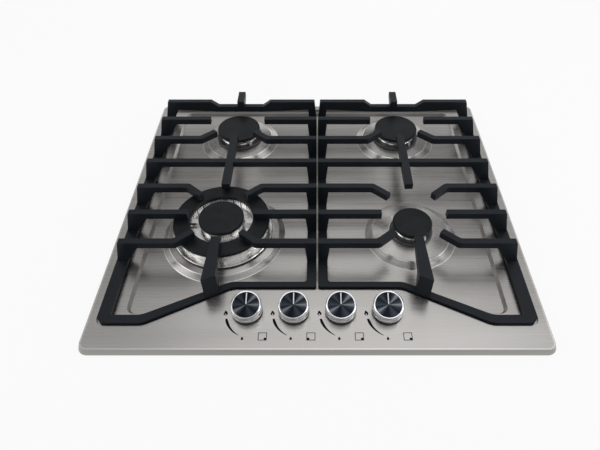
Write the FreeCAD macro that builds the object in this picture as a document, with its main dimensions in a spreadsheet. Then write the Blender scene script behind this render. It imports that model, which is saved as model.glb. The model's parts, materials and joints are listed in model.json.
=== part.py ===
"""Built-in gas cooktop with four burners, drawn as a parametric FreeCAD document.

Frame: origin at the centre of the plate, on the worktop that the rim lies on.
+X points to the right, +Y to the back and +Z up. Lengths are in millimetres.

Each driving dimension is a cell of the sheet "Sizes". Each piece of the cooktop is an
object of its own, whose sketches, features and placement are bound to those cells.
"""
import FreeCAD, Part
import Sketcher
import math
import os

doc = FreeCAD.newDocument("gas_cooktop")
sheet = doc.addObject("Spreadsheet::Sheet", "Sizes")
pieces = {}

ORIGIN = -1
X_AXIS = -1
Y_AXIS = -2
START = 1
END = 2
CENTRE = 3
ZERO = 1e-9
LEFT = -1
RIGHT = 1

PORTS = 16
RING_PORTS = 24
CORE_PORTS = 12
BRIDGES = 4
VENTS = 5


# --------------------------------------------------------------------------------------
# Sizes: a value that also knows the sheet expression it comes from
# --------------------------------------------------------------------------------------

def text_of(value):
    """The expression for a size or a plain number."""
    return value.text if isinstance(value, Size) else repr(float(value))


class Size:
    """A length or angle, with the expression that works it out from the sheet."""

    def __init__(self, value, text):
        self.value = float(value)
        self.text = text

    def __float__(self):
        return self.value

    def joined(self, value, sign, other):
        return Size(value, f"({self.text} {sign} {text_of(other)})")

    def __add__(self, other):
        return self.joined(self.value + float(other), "+", other)

    def __sub__(self, other):
        return self.joined(self.value - float(other), "-", other)

    def __mul__(self, other):
        return self.joined(self.value * float(other), "*", other)

    def __truediv__(self, other):
        return self.joined(self.value / float(other), "/", other)

    def __neg__(self):
        return Size(-self.value, f"(0 - {self.text})")

    __radd__ = __add__
    __rmul__ = __mul__

    def __rsub__(self, other):
        return Size(float(other) - self.value, f"({text_of(other)} - {self.text})")


def size(alias, value, meaning):
    """Adds a dimension to the sheet: a number that drives it, or a sum of others there."""
    size.row += 1
    sheet.set(f"A{size.row}", alias)
    formula = isinstance(value, Size)
    sheet.set(f"B{size.row}", "=" + value.text.replace("Sizes.", "") if formula else str(value))
    sheet.set(f"C{size.row}", meaning)
    sheet.setAlias(f"B{size.row}", alias)
    return Size(value, f"Sizes.{alias}")


size.row = 0


def hypotenuse(a, b):
    """Length of the slanted side over two square ones."""
    return Size(math.hypot(a, b), f"sqrt(({text_of(a)})^2 + ({text_of(b)})^2)")


def tangent(angle):
    return Size(math.tan(math.radians(angle)), f"tan({text_of(angle)} * 1deg)")


def cosine(angle):
    return Size(math.cos(math.radians(angle)), f"cos({text_of(angle)} * 1deg)")


def sine(angle):
    return Size(math.sin(math.radians(angle)), f"sin({text_of(angle)} * 1deg)")


def mitre(run, rise):
    """Tangent of half the turn from a level line into one that climbs by rise over run."""
    return (hypotenuse(run, rise) - run) / rise


# --------------------------------------------------------------------------------------
# Drawing helpers
# --------------------------------------------------------------------------------------

def bind(thing, path, value):
    """Ties a property to its size."""
    if isinstance(value, Size):
        thing.setExpression(path, value.text)
    elif "." in path:
        thing.setExpression(path, repr(float(value)))
    else:
        setattr(thing, path, value)


def place(thing, x=0.0, y=0.0, z=0.0, rotation=None):
    """Puts an object at its place."""
    if rotation is not None:
        thing.Placement = FreeCAD.Placement(FreeCAD.Vector(), rotation)
    for axis, value in (("x", x), ("y", y), ("z", z)):
        if abs(float(value)) > ZERO:
            bind(thing, f"Placement.Base.{axis}", value)
    return thing


def new_body(name):
    return doc.addObject("PartDesign::Body", name)


def plane_of(body, role):
    return next(item for item in body.Origin.OriginFeatures if item.Role == role)


def new_sketch(body, role="XY_Plane", offset=0.0):
    """A sketch on one of the body's own planes, or parallel to it."""
    sketch = body.newObject("Sketcher::SketchObject", f"{body.Name}_sketch")
    sketch.AttachmentSupport = (plane_of(body, role), [""])
    sketch.MapMode = "FlatFace"
    if abs(float(offset)) > ZERO:
        bind(sketch, "AttachmentOffset.Base.z", offset)
    return sketch


def constrain(sketch, wanted):
    """Adds constraints, given as (constraint, size or None), and binds those with a size."""
    first = sketch.ConstraintCount
    sketch.addConstraint([constraint for constraint, value in wanted])
    for index, (constraint, value) in enumerate(wanted):
        if isinstance(value, Size):
            sketch.setExpression(f"Constraints[{first + index}]", value.text)


def pinned(geometry, point, x, y):
    """The two constraints that hold one point at its place from the sketch's origin."""
    wanted = []
    for kind, axis, value in (("DistanceX", Y_AXIS, x), ("DistanceY", X_AXIS, y)):
        if abs(float(value)) < ZERO:
            wanted.append((Sketcher.Constraint("PointOnObject", geometry, point, axis), None))
        else:
            distance = Sketcher.Constraint(kind, ORIGIN, START, geometry, point, float(value))
            wanted.append((distance, value))
    return wanted


def polygon(sketch, points):
    """A closed outline through the points, each held by its own two dimensions."""
    first = sketch.GeometryCount
    corners = [FreeCAD.Vector(float(x), float(y), 0) for x, y in points]
    following = corners[1:] + corners[:1]
    sketch.addGeometry([Part.LineSegment(a, b) for a, b in zip(corners, following)], False)
    wanted = []
    for index in range(len(points)):
        after = first + (index + 1) % len(points)
        joint = Sketcher.Constraint("Coincident", first + index, END, after, START)
        wanted.append((joint, None))
    for index, (x, y) in enumerate(points):
        wanted += pinned(first + index, START, x, y)
    constrain(sketch, wanted)
    return sketch


def rounded(sketch, points, radii):
    """A closed outline with a radius at each corner; a zero leaves that corner sharp."""
    first = sketch.GeometryCount
    polygon(sketch, points)
    for index, radius in enumerate(radii):
        if float(radius) < ZERO:
            continue
        known = sketch.GeometryCount
        sketch.fillet(first + index, START, float(radius), True, True)
        arc = next(number for number in range(known, sketch.GeometryCount)
                   if isinstance(sketch.Geometry[number], Part.ArcOfCircle))
        constrain(sketch, [(Sketcher.Constraint("Radius", arc, float(radius)), radius)])
    return sketch


def circle(sketch, x, y, radius):
    """A full circle with its centre and radius held."""
    centre = FreeCAD.Vector(float(x), float(y), 0)
    shape = Part.Circle(centre, FreeCAD.Vector(0, 0, 1), float(radius))
    index = sketch.addGeometry(shape, False)
    width = Sketcher.Constraint("Radius", index, float(radius))
    constrain(sketch, pinned(index, CENTRE, x, y) + [(width, radius)])
    return sketch


def rectangle(sketch, x_low, x_high, y_low, y_high):
    corners = [(x_low, y_low), (x_high, y_low), (x_high, y_high), (x_low, y_high)]
    return polygon(sketch, corners)


def rounded_rectangle(sketch, x_low, x_high, y_low, y_high, radius):
    corners = [(x_low, y_low), (x_high, y_low), (x_high, y_high), (x_low, y_high)]
    return rounded(sketch, corners, [radius] * 4)


def grow(body, kind, sketch, length, centred=False, reverse=False, taper=None):
    """A Pad or a Pocket of the sketch."""
    feature = body.newObject(f"PartDesign::{kind}", f"{body.Name}_{kind}")
    feature.Profile = sketch
    bind(feature, "Length", length)
    feature.Reversed = reverse
    if centred:
        feature.SideType = "Symmetric"
    if taper is not None:
        bind(feature, "TaperAngle", taper)
    sketch.Visibility = False
    return feature


def pad(body, sketch, length, **options):
    return grow(body, "Pad", sketch, length, **options)


def pocket(body, sketch, length, **options):
    return grow(body, "Pocket", sketch, length, **options)


def revolve(body, profile):
    """Turns a half section, given as (radius, height) points, about the body's Z axis."""
    sketch = polygon(new_sketch(body, "XZ_Plane"), profile)
    feature = body.newObject("PartDesign::Revolution", f"{body.Name}_turned")
    feature.Profile = sketch
    feature.ReferenceAxis = (sketch, ["V_Axis"])
    feature.Angle = 360
    return feature


def repeat_round(body, feature, count):
    """Repeats a feature evenly about the body's Z axis."""
    pattern = body.newObject("PartDesign::PolarPattern", f"{body.Name}_pattern")
    pattern.Originals = [feature]
    pattern.Axis = (plane_of(body, "Z_Axis"), [""])
    pattern.Angle = 360
    pattern.Occurrences = count
    body.Tip = pattern
    return pattern


def repeat_along(body, feature, role, length, count):
    """Repeats a feature evenly along one of the body's axes."""
    pattern = body.newObject("PartDesign::LinearPattern", f"{body.Name}_row")
    pattern.Originals = [feature]
    pattern.Direction = (plane_of(body, role), [""])
    bind(pattern, "Length", length)
    pattern.Occurrences = count
    body.Tip = pattern
    return pattern


def keep(label, thing):
    """Names a finished piece, so that it is checked and written."""
    thing.Label = label
    pieces[label] = thing
    return thing


def turned(name, profile, x=0.0, y=0.0, z=0.0, rotation=None):
    """A turned piece, standing at its place."""
    body = new_body(name)
    revolve(body, profile)
    return place(body, x, y, z, rotation)


def cylinder(name, radius, height, x, y, z, rotation=None):
    """A Part cylinder that stands on its base."""
    shape = doc.addObject("Part::Cylinder", name)
    bind(shape, "Radius", radius)
    bind(shape, "Height", height)
    return place(shape, x, y, z, rotation)


def together(kind, name, members):
    """A Part::MultiFuse or Part::Compound of several objects."""
    joined = doc.addObject(f"Part::{kind}", name)
    if kind == "Compound":
        joined.Links = members
    else:
        joined.Shapes = members
    return joined


def cut(name, base, tool):
    result = doc.addObject("Part::Cut", name)
    result.Base = base
    result.Tool = tool
    return result


def bent_rod(name, points, bend, radius):
    """A round rod or tube along straight runs that are joined by tangent arcs."""
    corners = [FreeCAD.Vector(*[float(value) for value in point]) for point in points]
    edges = []
    start = corners[0]
    for before, corner, after in zip(corners, corners[1:], corners[2:]):
        inward = (before - corner).normalize()
        outward = (after - corner).normalize()
        turn = inward.getAngle(outward)
        set_back = float(bend) / math.tan(turn / 2)
        first = corner + inward * set_back
        last = corner + outward * set_back
        depth = float(bend) / math.sin(turn / 2) - float(bend)
        middle = corner + (inward + outward).normalize() * depth
        edges.append(Part.LineSegment(start, first).toShape())
        edges.append(Part.Arc(first, middle, last).toShape())
        start = last
    edges.append(Part.LineSegment(start, corners[-1]).toShape())
    path = Part.Wire(edges)
    heading = corners[1] - corners[0]
    section = Part.Wire([Part.Circle(corners[0], heading, float(radius)).toShape()])
    rod = doc.addObject("Part::Feature", name)
    rod.Shape = path.makePipe(Part.Face(section))
    return rod


# --------------------------------------------------------------------------------------
# Driving dimensions
# --------------------------------------------------------------------------------------

# Pressed plate
plate_width = size("plate_width", 590, "plate, left to right")
plate_depth = size("plate_depth", 525, "plate, front to back")
plate_height = size("plate_height", 8, "border of the plate over the worktop")
plate_corner = size("plate_corner", 14, "corner radius of the plate")
rim_angle = size("rim_angle", 22, "lean of the rim from upright, degrees")
sheet_wall = size("sheet_wall", 1.2, "steel sheet of the plate")
recess_floor = size("recess_floor", 4.5, "floor of the field that the grates stand in")
border_side = size("border_side", 14, "raised border on the left and right")
recess_gap = size("recess_gap", 2, "gap between the grates' outline and the raised border")
recess_rear = size("recess_rear", 248, "rear edge of that field, from the centre")
dish_depth = size("dish_depth", 5, "spill dish below the field's floor")
dish_inset = size("dish_inset", 33, "side edge of the spill dish inside the border")
dish_side = size("dish_side", plate_width / 2 - border_side - dish_inset,
                 "side edge of the spill dish, from the centre")
dish_rear = size("dish_rear", 241, "rear edge of the spill dish, from the centre")
dish_angle = size("dish_angle", 35, "lean of the dish's walls from upright, degrees")
dish_strip = size("dish_strip", 6, "level strip between the front bars and the dish")
field_corner = size("field_corner", 12, "corner radius of field and dish")
field_bend = size("field_bend", 30, "radius where the field's outline turns")
dish_bend = size("dish_bend", 20, "radius where the dish's outline turns")

# Burners
burner_inset = size("burner_inset", 157, "burner centres inside the plate's sides")
burner_x = size("burner_x", plate_width / 2 - burner_inset,
                "burner centres, left and right of the middle")
burner_rear = size("burner_rear", 163.5, "rear burner centres, behind the middle")
burner_front = size("burner_front", 64, "front burner centres, in front of the middle")
rear_cap_radius = size("rear_cap_radius", 36.5, "caps of the two rear burners")
small_cap_radius = size("small_cap_radius", 28.5, "cap of the right front burner")
ring_cap_radius = size("ring_cap_radius", 69, "outer cap of the three-ring burner")
ring_cap_inner = size("ring_cap_inner", 45, "opening of the three-ring burner's outer cap")
core_cap_radius = size("core_cap_radius", 32.5, "middle cap of the three-ring burner")
cap_thickness = size("cap_thickness", 5.5, "burner caps")
cap_lip = size("cap_lip", 2, "depth of the ring that centres a cap")
cap_edge = size("cap_edge", 1.65, "bevel round the top of a cap")
head_inset = size("head_inset", 5.5, "cap edge outside the head's wall")
head_wall = size("head_wall", 3, "wall of the burner heads")
head_height = size("head_height", 10.8, "burner head over its cup")
ring_head_height = size("ring_head_height", 17, "three-ring head over its cup")
core_rise = size("core_rise", 3.8, "middle crown over the outer ring's crown")
head_floor = size("head_floor", 2.3, "floor of the burner heads")
head_flare = size("head_flare", 1, "foot of the head outside its wall")
throat_length = size("throat_length", 18, "head's mixing throat below its floor")
port_width = size("port_width", 1.8, "flame slots")
port_depth = size("port_depth", 6, "flame slots, from the top edge")
bridge_width = size("bridge_width", 8, "bridges across the three-ring head")
cup_height = size("cup_height", 4, "cup flange over the plate")
cup_overhang = size("cup_overhang", 3, "cup flange outside the cap")
cup_depth = size("cup_depth", 49, "cup below the plate's hub")
cup_inset = size("cup_inset", 9, "cup body inside the cap's edge")
ring_cup_inset = size("ring_cup_inset", 29, "the same for the three-ring burner")
cup_wall = size("cup_wall", 3, "wall of the burner cups")
cup_edge = size("cup_edge", 1, "bevel round the cups' flanges")
throat_gap = size("throat_gap", 4, "ring of air round a throat in its cup")
seat_gap = size("seat_gap", 0.2, "play under each piece that lifts off")

# Pressings round the burners
hub_height = size("hub_height", 8, "middle of each pressing over the dish floor")
step_height = size("step_height", 6, "shoulder of each pressing over the dish floor")
hub_margin = size("hub_margin", 2, "level middle outside the cup's flange")
press_radius = size("press_radius", 67.5, "foot of the small pressings")
press_band = size("press_band", 11.5, "sloping band of the small pressings")
ring_press_margin = size("ring_press_margin", 21, "foot of its pressing outside its cap")
ring_press_radius = size("ring_press_radius", ring_cap_radius + ring_press_margin,
                         "foot of the three-ring burner's pressing")
ring_press_band = size("ring_press_band", 9, "sloping band of that pressing")
hole_gap = size("hole_gap", 0.5, "plate holes round cups and electrodes")
spare = size("spare", 1, "cutters past the surface that they cut")

# Spark electrodes
spark_radius = size("spark_radius", 2, "ceramic of the spark electrodes")
spark_inset = size("spark_inset", 1.5, "electrode axis inside the cap's edge")
spark_angle = size("spark_angle", -52, "electrodes about small burners, from +X, degrees")
ring_spark_angle = size("ring_spark_angle", -80, "the same on the three-ring burner")
spark_below = size("spark_below", 20, "electrode below the worktop")
spark_above = size("spark_above", 16, "ceramic over the worktop")
spark_tip = size("spark_tip", 4, "steel pin over the ceramic")
pin_radius = size("pin_radius", 0.8, "steel pin of the electrode")

# Grates
grate_top = size("grate_top", 48, "top of the grates over the worktop")
grate_side = size("grate_side", plate_width / 2 - border_side - recess_gap,
                  "outer face of the side bars, from the middle")
grate_front = size("grate_front", 224, "outer face of the front corner bars")
grate_flat = size("grate_flat", 168.5, "outer face of the bars behind the knobs")
corner_length = size("corner_length", 58, "front corner bars, from the grate's side")
corner_end = size("corner_end", grate_side - corner_length,
                  "where the corner bar turns, from the middle")
flat_end = size("flat_end", 113, "where the bar behind the knobs turns")
split_gap = size("split_gap", 2.4, "gap between the two grates")
side_bar = size("side_bar", 16, "width of the side bars")
inner_bar = size("inner_bar", 13, "width of the middle bars")
corner_bar = size("corner_bar", 12, "width of the front corner bars")
flat_bar = size("flat_bar", 8.5, "width of the bars behind the knobs")
frame_height = size("frame_height", 5.5, "height of the low frame bars")
foot_height = size("foot_height", 2, "rubber feet under the frame")
foot_radius = size("foot_radius", 5, "rubber feet")
finger_width = size("finger_width", 9, "fingers, straight and bent")
finger_depth = size("finger_depth", 10, "height of the fingers' section")
long_width = size("long_width", 12, "fingers that run front to back")
tip_distance = size("tip_distance", 46.5, "finger tips from the burner centre")
row_pitch = size("row_pitch", 55, "rows of fingers either side of a burner")
bend_reach = size("bend_reach", 55, "bend of the angled fingers, left or right of the burner")
bend_run = size("bend_run", 22, "sideways run of an angled tip")
bend_rise = size("bend_rise", 19, "run of an angled tip towards the burner")
bend_radius = size("bend_radius", 9, "rounding at the bends")
post_lean = size("post_lean", 10.5, "side posts' tops inside their feet")
post_top = size("post_top", 24.5, "width of the side posts at the top")
inner_post_top = size("inner_post_top", 15.5, "width of the middle posts at the top")
rail_pitch = size("rail_pitch", 53, "rear rail behind the rear burners")
rail_sag = size("rail_sag", 9.5, "lowered middle of the rear rail")
rail_depth = size("rail_depth", 16, "height of the rear rail's section")
rail_belly = size("rail_belly", 4, "further drop of the rail's underside in its middle")
sag_outer = size("sag_outer", 40, "half width of the lowered middle")
sag_slope = size("sag_slope", 13, "run from rail top to lowered middle")
rail_end = size("rail_end", 5, "inner ends of the rails' tops, from the middle")
rear_finger = size("rear_finger", 25, "rear fingers behind the rail")
front_flare = size("front_flare", 18, "width of the front fingers at their feet")
front_slope = size("front_slope", 1, "fall of the front fingers' underside")
front_lean = size("front_lean", 1.5, "front posts' tops behind their feet")
frame_round = size("frame_round", 4, "inner corners of the frames")
rear_lean = size("rear_lean", 1, "front ends of the rear fingers, tops behind feet")
rear_taper = size("rear_taper", 2, "thinning of the rear fingers to their ends")
free_end = size("free_end", 58, "long finger's free end, behind the front burner")

# Knobs and valves
knob_pitch = size("knob_pitch", 60, "between knob centres")
knob_front = size("knob_front", 204.5, "knob centres, in front of the middle")
knob_radius = size("knob_radius", 20, "knob")
knob_top = size("knob_top", 27, "top of the knob over the worktop")
knob_step = size("knob_step", 0.6, "step on the knob's side")
knob_rim = size("knob_rim", 3.6, "bright rim round the knob's face")
knob_bevel = size("knob_bevel", 2.6, "faceted bevel of the rim")
knob_skirt = size("knob_skirt", 1.2, "wall of the knob's skirt")
face_sink = size("face_sink", 0.4, "knob face below its rim")
face_thickness = size("face_thickness", 1.4, "disc let into the knob")
press_travel = size("press_travel", 3, "push of the knob before it turns")
press_play = size("press_play", 0.6, "gap left under a knob that is pushed in")
bezel_width = size("bezel_width", 8.4, "ring on the plate under each knob")
bezel_height = size("bezel_height", 5, "that ring's height")
bezel_gap = size("bezel_gap", 0.4, "skirt clear of the ring")
stem_radius = size("stem_radius", 4, "valve stem")
stem_gap = size("stem_gap", 0.05, "running clearance round stem and collar")
stem_hole_gap = size("stem_hole_gap", 2, "plate hole clear of the stem")
stem_cover = size("stem_cover", 1.5, "metal between the stem and the knob's face")
stem_across = size("stem_across", 2.8, "flat of the stem, from its axis")
shoulder_height = size("shoulder_height", 1, "stem's shoulder over the collar")
knob_crown = size("knob_crown", 3, "metal under the knob's face")
knob_waist = size("knob_waist", 6.5, "step on the knob's side over its lower edge")
hub_rise = size("hub_rise", 1, "knob's hub over the skirt's edge")
face_edge = size("face_edge", 0.3, "bevel round the knob's face")
hub_wall = size("hub_wall", 3, "wall of the knob's inner hub")
collar_radius = size("collar_radius", 6.5, "collar that the knob pushes in")
collar_height = size("collar_height", 4.5, "that collar's height")
collar_base = size("collar_base", -2, "underside of the collar")
spring_length = size("spring_length", 11.8, "return spring as fitted")
spring_gap = size("spring_gap", 0.3, "spring clear of stem and bore")
neck_radius = size("neck_radius", 9, "neck of the valve body")
neck_top = size("neck_top", 3, "top of that neck")
neck_height = size("neck_height", 11, "neck over the valve block")
valve_width = size("valve_width", 26, "valve block, both ways")
valve_height = size("valve_height", 36, "valve block")
valve_corner = size("valve_corner", 2, "corners of the valve block")
stem_bore = size("stem_bore", 10, "stem's bore below the spring")
stem_end_gap = size("stem_end_gap", 4, "room under the stem")

# Box below the plate
box_inset = size("box_inset", 23, "side walls of the box inside the plate's sides")
box_side = size("box_side", plate_width / 2 - box_inset,
                "side walls of the box, from the middle")
box_front = size("box_front", 238, "front wall of the box, from the middle")
box_rear = size("box_rear", 243, "rear wall of the box, from the middle")
box_bottom = size("box_bottom", 50, "underside of the box below the worktop")
box_wall = size("box_wall", 1, "steel sheet of the box")
box_corner = size("box_corner", 8, "corner radius of the box")
box_flange = size("box_flange", 7, "flange round the top of the box")
touch_gap = size("touch_gap", 0.1, "pieces that are fitted face to face")
vent_width = size("vent_width", 5, "vent slots in the box's floor")
vent_length = size("vent_length", 60, "vent slots")
vent_pitch = size("vent_pitch", 14, "between vent slots")
vent_x = size("vent_x", 170, "first vent slot, right of the middle")
seal_width = size("seal_width", 8, "foam seal under the border")
seal_gap = size("seal_gap", 0.4, "seal clear of the pressed sheet")
clamp_y = size("clamp_y", 150, "worktop clamps, in front and behind")
clamp_width = size("clamp_width", 20, "worktop clamps")
clamp_wall = size("clamp_wall", 2, "steel strip of the clamps")
clamp_reach = size("clamp_reach", 20, "clamp's arm under the worktop")
clamp_height = size("clamp_height", 28, "clamp's upright part")
clamp_drop = size("clamp_drop", 40, "underside of the clamp's arm below the worktop")
clamp_screw = size("clamp_screw", 17, "clamp's screw over the underside of its arm")
screw_radius = size("screw_radius", 2, "small screws")
screw_head = size("screw_head", 3.3, "heads of the small screws")
screw_head_height = size("screw_head_height", 2.2, "heads of the small screws")
screw_gap = size("screw_gap", 0.3, "holes round the small screws")
screw_y = size("screw_y", 180, "end screws of the box, in front and behind")
rail_wall = size("rail_wall", 2, "steel angle that carries the valves")
rail_reach = size("rail_reach", 112, "half length of that angle")
rail_foot = size("rail_foot", 16, "foot of that angle")

# Gas pipes
manifold_radius = size("manifold_radius", 7, "supply tube behind the valves")
manifold_drop = size("manifold_drop", 22, "supply tube's axis below the worktop")
manifold_bend = size("manifold_bend", 25, "bend of the supply tube")
inlet_inset = size("inlet_inset", 37, "gas inlet inside the box's right side")
inlet_x = size("inlet_x", box_side - inlet_inset, "gas inlet, right of the middle")
inlet_thread = size("inlet_thread", 10.4775, "radius of the G 1/2 inlet thread")
inlet_stub = size("inlet_stub", 16, "thread outside the box")
inlet_nut = size("inlet_nut", 14, "shoulder of the inlet fitting")
inlet_neck = size("inlet_neck", 9, "inlet fitting inside the box and its wall")
inlet_body = size("inlet_body", 24, "inlet fitting inside the box")
inlet_socket = size("inlet_socket", 8, "end of the fitting that holds the supply tube")
pipe_radius = size("pipe_radius", 3, "pipes from valve to burner")
pipe_drop = size("pipe_drop", 37.5, "those pipes' axis below the worktop")
pipe_bend = size("pipe_bend", 7.5, "bends of those pipes")
jet_radius = size("jet_radius", 5, "injector hexagon")
jet_height = size("jet_height", 10, "injector")
jet_tip = size("jet_tip", 3, "end of the injector")

# Ignition
module_inset = size("module_inset", 56, "ignition module's middle inside the box's side")
module_x = size("module_x", box_side - module_inset, "ignition module, left of the middle")
module_y = size("module_y", 170, "front face of the ignition module")
module_width = size("module_width", 38, "ignition module")
module_depth = size("module_depth", 44, "ignition module")
module_height = size("module_height", 22, "ignition module")
lead_radius = size("lead_radius", 1.5, "ignition leads")
lead_drop = size("lead_drop", 46, "ignition leads' axis below the worktop")
lead_bend = size("lead_bend", 6, "bends of the ignition leads")
lead_pitch = size("lead_pitch", 6, "between the leads' lanes")
lead_lane = size("lead_lane", 14, "right rear lead's lane in front of its electrode")
switch_width = size("switch_width", 18, "switch on each valve")
switch_depth = size("switch_depth", 11, "switch on each valve")
switch_height = size("switch_height", 9, "switch on each valve")
doc.recompute()

# --------------------------------------------------------------------------------------
# Values that follow from the driving dimensions
# --------------------------------------------------------------------------------------

dish_floor = recess_floor - dish_depth
hub_top = dish_floor + hub_height
cup_top = hub_top + cup_height
frame_low = recess_floor + foot_height
frame_high = frame_low + frame_height
finger_low = grate_top - finger_depth
outer_end = grate_side - post_lean
inner_end = split_gap / 2
turn_lean = mitre(corner_end - flat_end, grate_front - grate_flat)
bend_lean = mitre(bend_run, bend_rise)
row_y = {
    1: burner_rear,
    2: burner_rear - row_pitch,
    3: (burner_rear - burner_front) / 2,
    4: row_pitch - burner_front,
    5: -burner_front,
    6: -burner_front - row_pitch,
}
rail_y = burner_rear + rail_pitch


class Burner:
    """Place and sizes of one burner; all other sizes of it follow from its cap."""

    def __init__(self, name, x, y, cap_radius, cup_step, throat, angle):
        self.name = name
        self.x = x
        self.y = y
        self.cap_radius = cap_radius
        self.flange = cap_radius + cup_overhang
        self.cup = cap_radius - cup_step
        self.bore = self.cup - cup_wall
        self.throat = throat
        self.head = cap_radius - head_inset
        self.spark_x = x + (cap_radius - spark_inset) * cosine(angle)
        self.spark_y = y + (cap_radius - spark_inset) * sine(angle)


def plain_burner(name, x, y, cap_radius):
    """A burner with one crown."""
    throat = cap_radius - cup_inset - cup_wall - throat_gap
    return Burner(name, x, y, cap_radius, cup_inset, throat, spark_angle)


burners = [
    plain_burner("rear_left", -burner_x, burner_rear, rear_cap_radius),
    plain_burner("rear_right", burner_x, burner_rear, rear_cap_radius),
    plain_burner("front_right", burner_x, -burner_front, small_cap_radius),
]
ring_burner = Burner("front_left", -burner_x, -burner_front, ring_cap_radius,
                     ring_cup_inset, core_cap_radius - cup_inset, ring_spark_angle)
all_burners = burners + [ring_burner]
knob_x = {number: knob_pitch * (number - 2.5) for number in (1, 2, 3, 4)}


# --------------------------------------------------------------------------------------
# Plate, seal and box
# --------------------------------------------------------------------------------------

def stepped_outline(side, rear, corner_y, flat_y, shift_corner, shift_flat):
    """Outline with a straight rear and a front that steps back behind the knobs."""
    corner_x = corner_end + shift_corner
    flat_x = flat_end + shift_flat
    right = [(side, -corner_y), (corner_x, -corner_y), (flat_x, -flat_y)]
    left = [(-x, y) for x, y in reversed(right)]
    return [(-side, rear), (side, rear)] + right + left


def stepped_radii(corner, bend):
    """Radii for the corners of a stepped outline."""
    return [corner] * 3 + [bend] * 4 + [corner]


def field_outline(margin):
    """The sunk field: the grates' outline and a margin all round."""
    shift = -turn_lean * margin
    return stepped_outline(grate_side + margin, recess_rear + margin - recess_gap,
                           grate_front + margin, grate_flat + margin, shift, shift)


def dish_outline(margin):
    """The spill dish inside the grates' frames, grown by a margin."""
    corner_inset = corner_bar + dish_strip - margin
    flat_inset = flat_bar + dish_strip - margin
    return stepped_outline(dish_side + margin, dish_rear + margin,
                           grate_front - corner_inset, grate_flat - flat_inset,
                           turn_lean * corner_inset, turn_lean * flat_inset)


def plate_form(name, drop, inward):
    """The plate's upper surface as a solid; dropped and drawn in, the hollow below it."""
    body = new_body(name)
    half_width = plate_width / 2 - inward
    half_depth = plate_depth / 2 - inward
    blank = rounded_rectangle(new_sketch(body), -half_width, half_width, -half_depth,
                              half_depth, plate_corner - inward)
    top = plate_height - drop
    pad(body, blank, top, taper=-rim_angle)
    radii = stepped_radii(field_corner + inward, field_bend)
    field = rounded(new_sketch(body, offset=top), field_outline(recess_gap + inward), radii)
    pocket(body, field, plate_height - recess_floor)
    return body


def dish_form(name, top, depth, margin):
    """A flared tray with the outline of the spill dish at its top."""
    body = new_body(name)
    radii = stepped_radii(field_corner + margin, dish_bend)
    sketch = rounded(new_sketch(body, offset=top), dish_outline(margin), radii)
    pad(body, sketch, depth, reverse=True, taper=-dish_angle)
    return body


def pressing(kind, burner, drop):
    """The raised round pressing under a burner; dropped, the hollow below it."""
    wide = burner is ring_burner
    foot = ring_press_radius if wide else press_radius
    shoulder = foot - (ring_press_band if wide else press_band)
    base = dish_floor - sheet_wall - drop
    floor = dish_floor - drop
    profile = [
        (0, base),
        (foot, base),
        (foot, floor),
        (shoulder, floor + step_height),
        (burner.flange + hub_margin, floor + hub_height),
        (0, floor + hub_height),
    ]
    return turned(f"{kind}_{burner.name}", profile, burner.x, burner.y)


def make_top_plate():
    """Pressed steel plate: border, sunk field, spill dish and four round pressings."""
    outside = plate_form("plate_outside", 0, 0)
    inside = plate_form("plate_inside", sheet_wall, sheet_wall)
    dish = dish_form("dish", recess_floor, dish_depth, 0)
    under = recess_floor - sheet_wall
    margin = sheet_wall / 2
    dish_under = dish_form("dish_under", under, dish_depth, margin)
    pan_margin = margin - under * tangent(dish_angle)
    pan = dish_form("dish_pan", 0, sheet_wall - dish_floor, pan_margin)

    skin = together("MultiFuse", "plate_skin", [outside, pan])
    skin = cut("plate_with_dish", skin, dish)
    raised = [pressing("pressing", burner, 0) for burner in all_burners]
    skin = together("MultiFuse", "plate_pressed", [skin] + raised)

    hollow = cut("hollow_with_dish", inside, dish_under)
    lower = [pressing("hollow", burner, sheet_wall) for burner in all_burners]
    hollow = together("MultiFuse", "plate_hollow", [hollow] + lower)
    shell = cut("plate_shell", skin, hollow)

    holes = []
    deep = plate_height * 2
    for burner in all_burners:
        name = f"hole_{burner.name}"
        holes.append(cylinder(name, burner.cup + hole_gap, deep, burner.x, burner.y, 0))
        holes.append(cylinder(f"spark_{name}", spark_radius + hole_gap, deep,
                              burner.spark_x, burner.spark_y, 0))
    for number in knob_x:
        holes.append(cylinder(f"stem_hole_{number}", stem_radius + stem_hole_gap, deep,
                              knob_x[number], -knob_front, 0))
    keep("top_plate", cut("top_plate", shell, together("Compound", "plate_holes", holes)))


def make_worktop_seal():
    """Foam strip between the plate's border and the worktop."""
    body = new_body("worktop_seal")
    under_border = plate_height - sheet_wall
    inset = sheet_wall + under_border * tangent(rim_angle) + seal_gap
    half_width = plate_width / 2 - inset
    half_depth = plate_depth / 2 - inset
    height = under_border - touch_gap
    outer = rounded_rectangle(new_sketch(body), -half_width, half_width, -half_depth,
                              half_depth, plate_corner)
    pad(body, outer, height)
    inner_x = half_width - seal_width
    inner_y = half_depth - seal_width
    inner = rectangle(new_sketch(body, offset=height), -inner_x, inner_x, -inner_y, inner_y)
    pocket(body, inner, height)
    keep("worktop_seal", body)


box_top = recess_floor - sheet_wall - touch_gap


def box_outline(sketch, margin):
    """The box's outer outline, grown by a margin."""
    return rounded_rectangle(sketch, -box_side - margin, box_side + margin,
                             -box_front - margin, box_rear + margin, box_corner + margin)


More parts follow.
